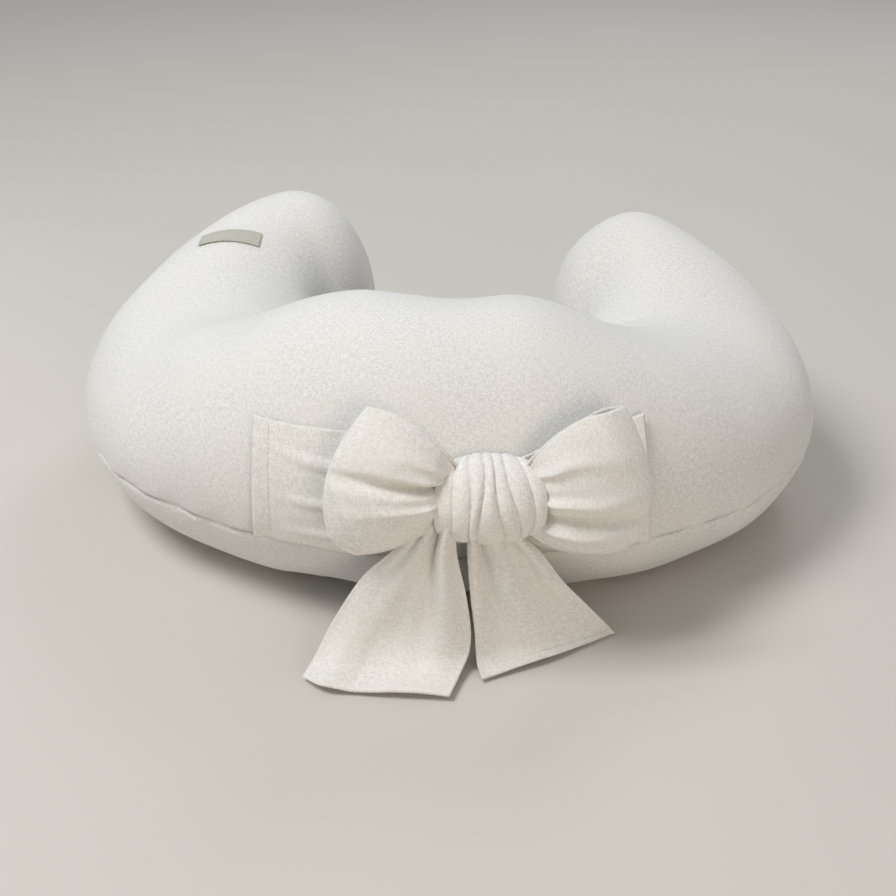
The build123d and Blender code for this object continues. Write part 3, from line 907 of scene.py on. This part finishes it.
def laid(start, direction, lift):
    """Where a ray meets the cover, lifted off the cloth on the side that the ray comes from."""
    place, normal = cover_tree.ray_cast(start, direction)[:2]
    if normal.dot(direction) > 0.0:
        normal = -normal
    return np.array(place + normal * lift)


def wall_point(turn, level, lift):
    """Place on the outer wall of the middle at an angle and a height, lifted off the cloth."""
    direction = Vector((sin(turn), -cos(turn), 0.0))
    return laid(Vector((0.0, arc_y, level)) + direction * (middle_radius + 0.25), -direction, lift)


def inner_wall_point(turn, level, lift):
    """Place on the inner wall of the middle at an angle and a height, lifted off the cloth."""
    direction = Vector((sin(turn), -cos(turn), 0.0))
    return laid(Vector((0.0, arc_y, level)) + direction * 0.06, direction, lift)


def crown_point(x, y, lift):
    """Place on top of the cover, lifted off the cloth."""
    return laid(Vector((x, y, 0.4)), Vector((0.0, 0.0, -1.0)), lift)


def stitches(name, line, body, spacing=3.4 * MM, length=2.3 * MM, radius=0.26 * MM):
    """A row of short stitches along a line of points, each a slim capsule sunk at its ends."""
    line = np.asarray(line)
    steps = np.concatenate([[0.0], np.cumsum(np.linalg.norm(np.diff(line, axis=0), axis=1))])
    count = int(steps[-1] / spacing)
    curve = wire_curve(name, radius, thread)
    for index in range(count):
        middle = (index + 0.5) * steps[-1] / count
        spline = curve.splines.new("POLY")
        spline.points.add(3)
        for place, share in enumerate((-0.5, -0.25, 0.25, 0.5)):
            point = [np.interp(middle + share * length, steps, line[:, axis]) for axis in range(3)]
            spline.points[place].co = (*point, 1.0)
            spline.points[place].radius = 0.55 if place in (0, 3) else 1.0
    piece = linked(name, curve)
    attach(piece, body)


# ---------------------------------------------------------------------------------------------
# Bow: everything in the knot's own directions, across, up the wall and outwards
# ---------------------------------------------------------------------------------------------

knot_turn = radians(8.0)
knot_level = 0.116
knot_lean = radians(9.28)
strap_thickness = 1.6 * MM
bow_across = np.array([cos(knot_turn), sin(knot_turn), 0.0])
bow_out = np.array([cos(knot_lean) * sin(knot_turn), -cos(knot_lean) * cos(knot_turn), sin(knot_lean)])
bow_up = np.cross(bow_out, bow_across)
knot_place = wall_point(knot_turn, knot_level, 0.0)


def bow_point(across, up, out):
    """Points of the bow from millimetres across, up the wall and outwards."""
    across, up, out = np.broadcast_arrays(across, up, out)
    offset = across[..., None] * bow_across + up[..., None] * bow_up + out[..., None] * bow_out
    return knot_place + MM * offset


band_top = 0.1575
band_base = 0.0712
band_columns = 84
stitch_column = 6


def tie_band(name, end_turn, folds, weave_offset):
    """The stretch of a strap from its sewn end to the knot, lying on the wall."""
    lengthwise = np.linspace(0.0, 1.0, band_columns)
    across = np.linspace(0.0, 1.0, 46)
    stitch_share = stitch_column / (band_columns - 1)
    grid = np.zeros((len(across), len(lengthwise), 3))
    side = -1.0 if end_turn < knot_turn else 1.0
    near_turn = knot_turn - side * radians(1.0)
    for column, share in enumerate(lengthwise):
        turn = end_turn + (near_turn - end_turn) * share
        gather = float(eased((share - 0.42) / 0.46))
        top = band_top + (knot_level + 0.027 - band_top) * gather
        base = band_base + (knot_level - 0.027 - band_base) * gather
        for row, part in enumerate(across):
            # the sewn end bows outwards a little at its middle
            bend = -side * 0.010 * (1.0 - share) * (4.0 * part * (1.0 - part) - 0.5)
            lift = 2.0 + 0.9 * float(bell(share, 0.045))
            edge = min(part, 1.0 - part) * (top - base) / MM
            lift += 0.5 * float(bell(edge, 3.0)) - 0.7 * float(bell(share - stitch_share, 0.012))
            for middle, slope, deep, wide in folds:
                off = part - (middle + slope * (share - 0.5))
                fan = float(eased((share - 0.05) / 0.35))
                lift += deep * fan * float(bell(off, wide) - 0.6 * bell(off - 2.1 * wide, wide))
            lift += 1.6 * gather * (1.0 + sin(24.0 * part + 0.8))
            grid[row, column] = wall_point(turn + bend, base + (top - base) * part, max(lift, 1.8) * MM)
    if side > 0:
        grid = grid[:, ::-1]
    piece = strip(name, grid, strap_linen, strap_thickness, weave_offset)
    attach(piece, "pillow")
    return piece, grid


# Folds of each band: place across it, slope, height and width
left_folds = ((0.70, -0.24, 3.0, 0.040), (0.44, 0.02, 2.4, 0.035), (0.18, 0.14, 1.6, 0.04))
right_folds = ((0.66, -0.20, 2.4, 0.04), (0.34, 0.10, 2.0, 0.04))
left_band, left_band_grid = tie_band("left_band", radians(-18.8), left_folds, 1.0)
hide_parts("left_tie_band")
right_band, right_band_grid = tie_band("right_band", radians(26.0), right_folds, 2.0)
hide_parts("right_tie_band")


def band_stitches(name, grid, column):
    """Stitches just over the cloth along one column of a band, clear of its corners."""
    normals = grid_normals(grid)
    facing = np.sign(np.sum(normals[:, column] * bow_out))
    lift = strap_thickness + 0.1 * MM
    line = grid[2:-2, column] + facing * normals[2:-2, column] * lift
    stitches(name, line, "pillow", radius=0.32 * MM)


band_stitches("left_band_stitches", left_band_grid, stitch_column)
band_stitches("right_band_stitches", right_band_grid, -1 - stitch_column)

# Loops of the bow, in millimetres in the bow's own directions

loop_rows = 76
loop_half_columns = 70
loop_front_root = 16.0
loop_back_root = 6.0
loop_outer_out = 10.0
loop_droop = 9.0
loop_layer_gap = 2.2
loop_fold_rounds = 26


def loop_outer_edge(shape, side, v):
    """Across and up of the fold at a loop's outer end, on a curve through its corners and middle."""
    base_corner, middle_edge, top_corner = shape["outer"]
    upper = v * (v + 1.0) / 2.0
    lower = v * (v - 1.0) / 2.0
    centre = 1.0 - v * v
    across = upper * top_corner[0] + lower * base_corner[0] + centre * middle_edge[0]
    up = upper * top_corner[1] + lower * base_corner[1] + centre * middle_edge[1]
    # the lower corner is rounder than the curve makes it
    across -= side * 9.0 * max(0.0, (-0.70 - v) / 0.30) ** 2
    return across, up


def loop_folds(shape, v, t):
    """Height of the folds that run from the knot into a loop."""
    height = 0.0
    for place, high, reach in shape["pleats"]:
        line = place * (1.0 - 0.25 * t) + 0.03 * sin(9.0 * t + 7.0 * place)
        height += high * float(bell(v - line, 0.085 + 0.05 * t)) * max(0.0, 1.0 - t / reach) ** 1.3
    place, deep, reach = shape["valley"]
    height -= deep * float(bell(v - place - 0.12 * t, 0.10)) * float(eased(1.25 - t / reach))
    return height


def loop_point(shape, side, v, t, behind):
    """Point of a loop at v across the strap, from -1 to 1, and t from the knot to the outer fold."""
    end_across, end_up = loop_outer_edge(shape, side, v)
    start_across = side * (20.0 if behind else 24.0)
    across = start_across + (end_across - start_across) * t
    across -= side * 5.0 * abs(v) ** 4 * sin(pi * t)
    root_up = shape["root"][0] + v * shape["root"][1]
    spread = sin(0.5 * pi * t) ** (shape["flare"] - 0.15 * v)
    up = root_up + (end_up - root_up) * spread
    # the knot squeezes the loop flat at its root
    squeezed = 1.0 - float(eased((t + 0.03) / 0.24))
    puff = shape["puff"] * sin(pi * min(1.0, t * 0.92 + 0.06)) ** 0.75 * (1.0 - squeezed)
    swell = 1.0 - 0.35 * v * v - 0.40 * abs(v) ** 5
    parted = float(bell(t - 0.78, 0.13)) * (v > 0.0)
    top = max(v, 0.0)
    ahead = loop_front_root + (loop_outer_out - loop_front_root) * t + puff * swell
    ahead += shape["top_open"] * top**3 * parted
    drooped = loop_droop * top**1.6 * t
    back_level = loop_back_root + (loop_outer_out - loop_back_root) * t**3 + 3.5 * sin(pi * t)
    folds = loop_folds(shape, v, t) * (1.0 - 0.65 * squeezed)
    if behind:
        # its edges lie against the front's, but for a short gap at the top
        together = abs(v) ** 3 * (1.0 - 0.9 * parted * shape["gap"]) * (1.0 - t**6)
        out = back_level + max(0.0, ahead - loop_layer_gap - back_level) * together
        out += 0.35 * folds - drooped
        up -= 2.0 * top**3 * (1.0 - parted * shape["gap"])
    else:
        # the front never sinks through the layer behind it
        lowest = back_level + 0.35 * folds + 3.0 * (1.0 - t**6)
        out = max(ahead + folds, lowest) - drooped
    return bow_point(across, up, out)


def loop_piece(name, side, shape, weave_offset):
    """A loop: the strap leaves the knot in front, turns at its outer end and comes back behind.

    The shape's outer gives across and up of the outer fold at its base, middle and top, root the middle
    and half height by the knot, flare how late it widens, puff how far the front stands out, top_open and
    gap how open its top is, pleats (place across the strap, height, reach) and valley the same, sunk."""
    front = np.linspace(0.0, 1.0, loop_half_columns)
    lengthwise = [(t, False) for t in front] + [(t, True) for t in front[::-1][1:]]
    grid = np.zeros((loop_rows, len(lengthwise), 3))
    for row, v in enumerate(np.linspace(-1.0, 1.0, loop_rows)):
        for column, (t, behind) in enumerate(lengthwise):
            grid[row, column] = loop_point(shape, side, v, t, behind)
    turned = turn_outer_end(grid, len(front))
    if side > 0:
        turned = turned[:, ::-1]
    piece = strip(name, turned, strap_linen, strap_thickness, weave_offset)
    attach(piece, "pillow")
    return piece


def turn_outer_end(grid, front_count):
    """Round the fold at a loop's outer end, so that the strap turns without a sharp edge."""
    rounded = grid.copy()
    weights = np.array([1.0, 4.0, 6.0, 4.0, 1.0]) / 16.0
    count = grid.shape[1]
    near = bell(np.arange(count) - (front_count - 0.5), 16.0)[None, :, None]
    for _ in range(loop_fold_rounds):
        first, last = rounded[:, :1], rounded[:, -1:]
        padded = np.concatenate([first, first, rounded, last, last], axis=1)
        softer = sum(weight * padded[:, place : place + count] for place, weight in enumerate(weights))
        rounded = rounded + (softer - rounded) * near
    return rounded


left_loop_shape = {
    "outer": ((-106.0, -31.0), (-114.0, 20.0), (-84.0, 71.0)),
    "root": (17.0, 13.0),
    "flare": 1.05,
    "puff": 19.0,
    "top_open": 1.0,
    "gap": 0.25,
    "pleats": ((-0.80, 3.0, 0.7), (-0.42, 5.5, 0.95), (0.34, 3.4, 0.5), (0.66, 4.0, 0.80)),
    "valley": (0.06, 10.5, 0.95),
}
right_loop_shape = {
    "outer": ((94.0, -36.0), (110.0, 8.0), (92.0, 67.0)),
    "root": (7.0, 22.0),
    "flare": 0.90,
    "puff": 17.0,
    "top_open": 6.0,
    "gap": 1.0,
    "pleats": ((-0.74, 6.5, 1.25), (-0.02, 6.0, 1.15), (0.66, 5.5, 1.0), (0.34, 2.0, 0.4)),
    "valley": (-0.40, 8.5, 1.1),
}
left_loop = loop_piece("left_loop", -1.0, left_loop_shape, 3.0)
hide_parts("left_bow_loop")
right_loop = loop_piece("right_loop", 1.0, right_loop_shape, 4.0)
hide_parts("right_bow_loop")

# Knot: the strap wrapped round the bow's middle, in soft upright pleats

knot_half_length = 37.0
knot_half_height = 32.0
knot_rise = 5.0
# valleys between the knot's rolls: place across it, and how far each leans from its top to its underside
knot_valleys = (
    (-1.15, 0.0), (-0.70, -0.14), (-0.38, 0.02), (-0.20, -0.20),
    (0.16, 0.22), (0.44, 0.30), (0.74, 0.12), (1.15, 0.0),
)


def knot_roll(place, angle):
    """Height of the rolls of cloth across the knot, 0 in the valleys and 1 on the rolls."""
    lines = []
    for valley, lean in knot_valleys:
        lines.append(valley + lean * -0.5 * cos(angle) + 0.03 * sin(3.0 * angle + 5.0 * valley))
    for index, (low, high) in enumerate(zip(lines, lines[1:])):
        if low <= place <= high:
            share = 2.0 * (place - low) / (high - low) - 1.0
            return (1.0 - share * share) ** 0.42 * (0.70 + 0.30 * sin(2.3 * index + 0.6) ** 2)
    return 0.0


def knot_piece():
    """The turn of strap over the bow's middle, from behind its top to behind its underside."""
    across = np.linspace(-1.0, 1.0, 132)
    around = np.linspace(radians(-38.0), radians(218.0), 96)
    grid = np.zeros((len(across), len(around), 3))
    for row, w in enumerate(across):
        for column, angle in enumerate(around):
            front = max(0.0, sin(angle))
            shoulder = abs(w) ** 3.0
            depth = 29.0 - 10.0 * shoulder
            half = knot_half_height - 3.0 - 7.5 * shoulder
            ridges = 5.0 * knot_roll(w, angle) * (0.45 + 0.55 * front**0.5)
            out = (depth + ridges) * sin(angle) if angle > 0.0 and angle < pi else depth * 0.35 * sin(angle)
            up = knot_rise + (half + 0.8 * ridges) * cos(angle)
            length = knot_half_length * w * (0.72 + 0.28 * front**0.6) - 2.0
            grid[row, column] = bow_point(length, up, 2.5 + out)
    piece = strip("knot", grid[::-1], strap_linen, strap_thickness, 5.0)
    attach(piece, "pillow")
    return piece


knot = knot_piece()
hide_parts("bow_knot")

# Tails: strips from under the knot to the floor

tail_rows = 74
tail_columns = 84


def smooth_path(stations, count):
    """Smooth curve through a few stations."""
    stations = np.asarray(stations, float)
    before_first = 2.0 * stations[0] - stations[1]
    after_last = 2.0 * stations[-1] - stations[-2]
    padded = np.concatenate([[before_first], stations, [after_last]])
    spans = len(stations) - 1
    result = []
    for place in np.linspace(0.0, spans, count):
        index = min(int(place), spans - 1)
        t = place - index
        before, start, end, after = padded[index : index + 4]
        result.append(0.5 * (2.0 * start + (end - before) * t
                             + (2.0 * before - 5.0 * start + 4.0 * end - after) * t * t
                             + (3.0 * start - before - 3.0 * end + after) * t**3))
    return np.array(result)


def tail_piece(name, body, left_edge, right_edge, pleats, ripples, hem_bend, weave_offset):
    """A tail between two edge lines, given in millimetres, gathered at the knot and loose at its hem."""
    floor_lift = 1.8
    left = smooth_path(left_edge, tail_columns)
    right = smooth_path(right_edge, tail_columns)
    grid = np.zeros((tail_rows, tail_columns, 3))
    for row, v in enumerate(np.linspace(0.0, 1.0, tail_rows)):
        grid[row] = left + (right - left) * v
    normals = grid_normals(grid)
    normals *= np.sign(np.sum(normals * bow_out))
    shares = np.linspace(0.0, 1.0, tail_columns)
    for row, v in enumerate(np.linspace(0.0, 1.0, tail_rows)):
        rise = np.zeros(tail_columns)
        for place, height, reach, drift, wide in pleats:
            line = place + drift * shares
            fade = np.clip(1.0 - shares / reach, 0.0, 1.0) ** 0.8
            rise += height * bell(v - line, wide * (1.0 + shares)) * fade
        for place, height, start, wide in ripples:
            ridge = 1.0 - min(1.0, sqrt((v - place) ** 2 + 0.0004) / wide)
            rise += height * ridge * eased((shares - start) / 0.35)
        edge = min(v, 1.0 - v)
        rise += 0.5 * bell(edge, 0.022)
        rise += 0.6 * bell(1.0 - shares, 0.03) - 0.5 * bell(1.0 - shares - 0.085, 0.012)
        grid[row] += normals[row] * rise[:, None]
        # the hem runs a little further out between its corners
        place, forward = hem_bend
        share = v / place if v < place else (1.0 - v) / (1.0 - place)
        grid[row, :, 1] -= forward * eased(share) ** 0.7 * eased((shares - 0.6) / 0.4)
    grid[..., 2] = np.maximum(grid[..., 2], floor_lift)
    grid *= MM
    piece = strip(name, grid, strap_linen, strap_thickness, weave_offset)
    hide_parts(body)
    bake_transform(piece)
    return piece


# Edges of the tails from under the knot to the hem, in millimetres
left_tail_left_edge = (
    (12.0, -197.0, 119.0), (-7.0, -203.0, 95.0), (-33.0, -206.0, 69.0),
    (-54.0, -214.0, 36.0), (-66.0, -225.0, 12.0), (-73.0, -237.0, 2.0),
)
left_tail_right_edge = (
    (29.0, -199.0, 118.0), (29.0, -206.0, 92.0), (36.0, -209.0, 58.0),
    (39.0, -209.0, 26.0), (36.0, -218.0, 6.0), (28.0, -250.0, 2.0),
)
right_tail_left_edge = (
    (36.0, -196.0, 100.0), (36.0, -201.0, 84.0), (38.0, -206.0, 56.0),
    (41.0, -208.0, 28.0), (43.0, -213.0, 6.0), (48.0, -230.0, 2.0),
)
right_tail_right_edge = (
    (66.0, -191.0, 100.0), (83.0, -190.0, 84.0), (99.0, -188.0, 60.0),
    (117.0, -182.0, 36.0), (131.0, -174.0, 15.0), (138.0, -168.0, 2.0),
)
# Pleats from the knot: place across the tail, height, reach, drift to the right and width.
# Ridges by the hem: place across the tail, height, where it starts and width.
left_tail_pleats = (
    (0.12, 3.0, 0.7, 0.00, 0.06),
    (0.36, 6.0, 1.0, -0.08, 0.08),
    (0.60, -7.0, 1.0, 0.12, 0.055),
    (0.78, 13.0, 1.15, 0.04, 0.10),
)
right_tail_pleats = (
    (0.06, 4.0, 0.9, 0.00, 0.05),
    (0.22, -7.0, 0.9, 0.04, 0.055),
    (0.42, 6.0, 1.0, 0.05, 0.10),
    (0.72, -3.0, 0.9, 0.06, 0.06),
    (0.88, 4.5, 1.1, 0.00, 0.07),
)
# Each hem runs furthest out at a place across the tail, by some millimetres
left_hem_bend = (0.18, 8.0)
right_hem_bend = (0.4, 2.0)
left_tail_ripples = ((0.17, 4.5, 0.40, 0.17), (0.60, 2.0, 0.5, 0.25))
right_tail_ripples = ((0.50, 3.0, 0.5, 0.4),)

left_tail_piece = tail_piece(
    "left_strap_tail", "left_tail", left_tail_left_edge, left_tail_right_edge,
    left_tail_pleats, left_tail_ripples, left_hem_bend, 6.0)
right_tail_piece = tail_piece(
    "right_strap_tail", "right_tail", right_tail_left_edge, right_tail_right_edge,
    right_tail_pleats, right_tail_ripples, right_hem_bend, 7.0)

# ---------------------------------------------------------------------------------------------
# Labels
# ---------------------------------------------------------------------------------------------


# Half sizes of the label and of the border sewn on it, in millimetres
label_half_length, label_half_width = 26.0, 7.0
border_half_length, border_half_width = 24.0, 5.2
label_turn = radians(-15.0)
care_wall_radius = 0.152


def brand_label():
    """A blank woven label on top of the left arm."""
    low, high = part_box("brand_label")
    middle = 0.5 * (np.array(low) + np.array(high))
    # the arm's own arc centre gives the way along the arm
    centre_x = -arc_offset * sin(middle_turn)
    centre_y = arc_y - arc_offset * cos(middle_turn)
    turn = np.arctan2(centre_x - middle[0], centre_y - middle[1]) + label_turn
    long_way = np.array([-sin(turn), -cos(turn)])
    short_way = np.array([long_way[1], -long_way[0]])
    grid = np.zeros((19, 61, 3))
    for row, v in enumerate(np.linspace(-label_half_width, label_half_width, 19)):
        for column, u in enumerate(np.linspace(-label_half_length, label_half_length, 61)):
            x, y = middle[:2] + long_way * u * MM + short_way * v * MM
            edge = min(label_half_length - abs(u), label_half_width - abs(v))
            lift = 0.75 + 0.35 * float(bell(edge, 1.2)) - 0.25 * float(bell(edge - 2.2, 0.5))
            grid[row, column] = crown_point(x, y, lift * MM)
    piece = strip("woven_label", grid[::-1], woven_label, 0.5 * MM, 8.0)
    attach(piece, "pillow")
    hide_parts("brand_label")
    border = [
        (along * border_half_length, across * border_half_width)
        for along, across in ((-1.0, -1.0), (1.0, -1.0), (1.0, 1.0), (-1.0, 1.0), (-1.0, -1.0))
    ]
    line = []
    for (u0, v0), (u1, v1) in zip(border, border[1:]):
        for share in np.linspace(0.0, 1.0, 24, endpoint=False):
            u, v = u0 + (u1 - u0) * share, v0 + (v1 - v0) * share
            x, y = middle[:2] + long_way * u * MM + short_way * v * MM
            line.append(crown_point(x, y, 1.3 * MM))
    stitches("woven_label_stitches", line, "pillow", 2.4 * MM, 1.6 * MM, 0.2 * MM)


def care_label():
    """A blank satin label under the zip, on the inner wall."""
    low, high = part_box("care_label")
    grid = np.zeros((25, 37, 3))
    half_turn = 0.5 * (high[0] - low[0]) / care_wall_radius
    for row, level in enumerate(np.linspace(low[2], high[2], 25)):
        for column, u in enumerate(np.linspace(-1.0, 1.0, 37)):
            lift = 0.9 + 1.5 * (1.0 - (level - low[2]) / (high[2] - low[2])) ** 2 * (1.0 + 0.4 * sin(3.0 * u))
            grid[row, column] = inner_wall_point(u * half_turn, level, lift * MM)
    piece = strip("satin_label", grid[:, ::-1], satin, 0.3 * MM, 9.0)
    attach(piece, "pillow")
    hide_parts("care_label")


brand_label()
care_label()

# ---------------------------------------------------------------------------------------------
# Zip: toothed coils, topstitching and better finishes for the tapes, stops, slider and pull
# ---------------------------------------------------------------------------------------------

zip_radius = 0.14985
zip_lean = 0.2706
coil_pitch = 1.5 * MM
coil_half_turn = radians(26.0)


def zip_place(turn, up, depth):
    """Place by the zip at an angle, millimetres up the wall and millimetres into the pillow."""
    radial = np.array([sin(turn), -cos(turn), 0.0])
    upwards = sin(zip_lean) * radial + np.array([0.0, 0.0, cos(zip_lean)])
    inwards = cos(zip_lean) * radial - np.array([0.0, 0.0, sin(zip_lean)])
    start = zip_radius * radial + np.array([0.0, arc_y, seam_z])
    return start + MM * (up * upwards + depth * inwards)


def coil_piece(name, side, node):
    """A zip coil: a wire wound along its tape, with a head on each turn beside the parting line."""
    turns = int(2.0 * coil_half_turn * zip_radius / coil_pitch)
    per_turn = 10
    curve = wire_curve(name, 0.34 * MM, plastic)
    spline = curve.splines.new("POLY")
    count = turns * per_turn
    spline.points.add(count - 1)
    for index in range(count):
        share = index / (count - 1)
        angle = 2.0 * pi * index / per_turn
        turn = -coil_half_turn + 2.0 * coil_half_turn * share
        up = side * (1.55 - 0.78 * cos(angle))
        depth = 1.38 - 0.50 * sin(angle)
        spline.points[index].co = (*zip_place(turn, up, depth), 1.0)
        spline.points[index].radius = 1.0 + 0.35 * max(0.0, cos(angle))
    piece = linked(name, curve)
    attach(piece, "pillow")
    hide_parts(node)


coil_piece("upper_coil", 1.0, "zip_coil_upper")
coil_piece("lower_coil", -1.0, "zip_coil_lower")


def zip_topstitch(name, side):
    """The row of stitches that holds the cover's edge to a tape."""
    turns = np.linspace(-zip_half_turn, zip_half_turn, 90)
    level = seam_z + side * (zip_half_gap + 2.6 * MM)
    stitches(name, [inner_wall_point(turn, level, 0.1 * MM) for turn in turns], "pillow")


zip_topstitch("zip_stitches_upper", 1.0)
zip_topstitch("zip_stitches_lower", -1.0)


def refinish(node, material):
    """Give a node of the model a better material."""
    piece = frame["nodes"][node]
    piece.data.materials.clear()
    piece.data.materials.append(material)


def object_woven(name, colour, warm):
    """Woven tape whose threads are read from the object's own place."""
    finish = Finish(name, Sheen_Weight=0.2)
    place = finish.node("ShaderNodeTexCoord", {}, {}, "Object")
    ribs = finish.noise(finish.stretched(place, (1500.0, 1500.0, 220.0)), 1.0, 1.0)
    cross = finish.noise(finish.stretched(place, (200.0, 200.0, 1800.0)), 1.0, 1.0)
    threads = 0.5 * (ribs + cross)
    # painted shade: where the tape's threads lie low the colour darkens towards the warm tint, as in the
    # weave's hollows
    tone = finish.blend(finish.step(threads, 0.35, 0.65), warm, colour)
    normal = finish.bump(threads, 0.35, 0.4 * MM)
    return finish.feed_shader(Base_Color=tone, Roughness=0.78 + 0.12 * threads, Normal=normal)


tape = object_woven("zip_tape_weave", tint(0.74, 0.73, 0.70), tint(0.64, 0.62, 0.58))
for node in ("zip_tape_upper", "zip_tape_lower"):
    refinish(node, tape)
for node in ("zip_stops", "zip_slider", "zip_pull"):
    refinish(node, enamel)

# ---------------------------------------------------------------------------------------------
# Floor, light and camera
# ---------------------------------------------------------------------------------------------


def floor_piece():
    half = 6.0
    points = [(-half, -half, 0.0), (half, -half, 0.0), (half, half, 0.0), (-half, half, 0.0)]
    piece = add_object("floor", points, [(0, 1, 2, 3)], pale_floor(), smooth=False)


def soft_light(name, place, target, size, power, colour):
    """A square soft light at a place, facing a target."""
    lamp = bpy.data.lights.new(name, "AREA")
    lamp.shape = "SQUARE"
    lamp.size = size
    lamp.energy = power
    lamp.color = colour
    light = linked(name, lamp)
    light.location = place
    light.rotation_euler = (Vector(target) - Vector(place)).to_track_quat("-Z", "Y").to_euler()


def studio():
    world = bpy.data.worlds.new("studio")
    world.use_nodes = True
    backdrop = world.node_tree.nodes["Background"]
    backdrop.inputs["Color"].default_value = (0.90, 0.95, 1.0, 1.0)
    backdrop.inputs["Strength"].default_value = 0.36
    bpy.context.scene.world = world
    centre = (0.0, 0.0, 0.1)
    soft_light("key", (-1.1, -0.5, 2.1), centre, 0.9, 36.0, (1.0, 1.0, 0.99))
    soft_light("fill", (0.9, -1.9, 0.62), (0.1, -0.1, 0.03), 0.8, 9.0, (1.0, 0.80, 0.60))
    soft_light("rear", (0.7, 1.7, 1.8), centre, 1.0, 12.0, (0.97, 0.99, 1.0))


camera_target = (0.0086, arc_y - 0.200, 0.0668)
camera_turn = radians(4.78)
camera_drop = radians(30.4)
camera_distance = 1.007
camera_lens = 51.43


def aim_camera():
    """Camera in front of the bow, looking down on the pillow."""
    target = Vector(camera_target)
    turn, drop = camera_turn, camera_drop
    back = Vector((sin(turn) * cos(drop), -cos(turn) * cos(drop), sin(drop)))
    lens = bpy.data.cameras.new("camera")
    lens.sensor_width = 36.0
    lens.lens = camera_lens
    camera = linked("camera", lens)
    camera.location = target + back * camera_distance
    camera.rotation_euler = (-back).to_track_quat("-Z", "Y").to_euler()
    bpy.context.scene.camera = camera
    bpy.context.scene.view_settings.view_transform = "Standard"


floor_piece()
studio()
aim_camera()
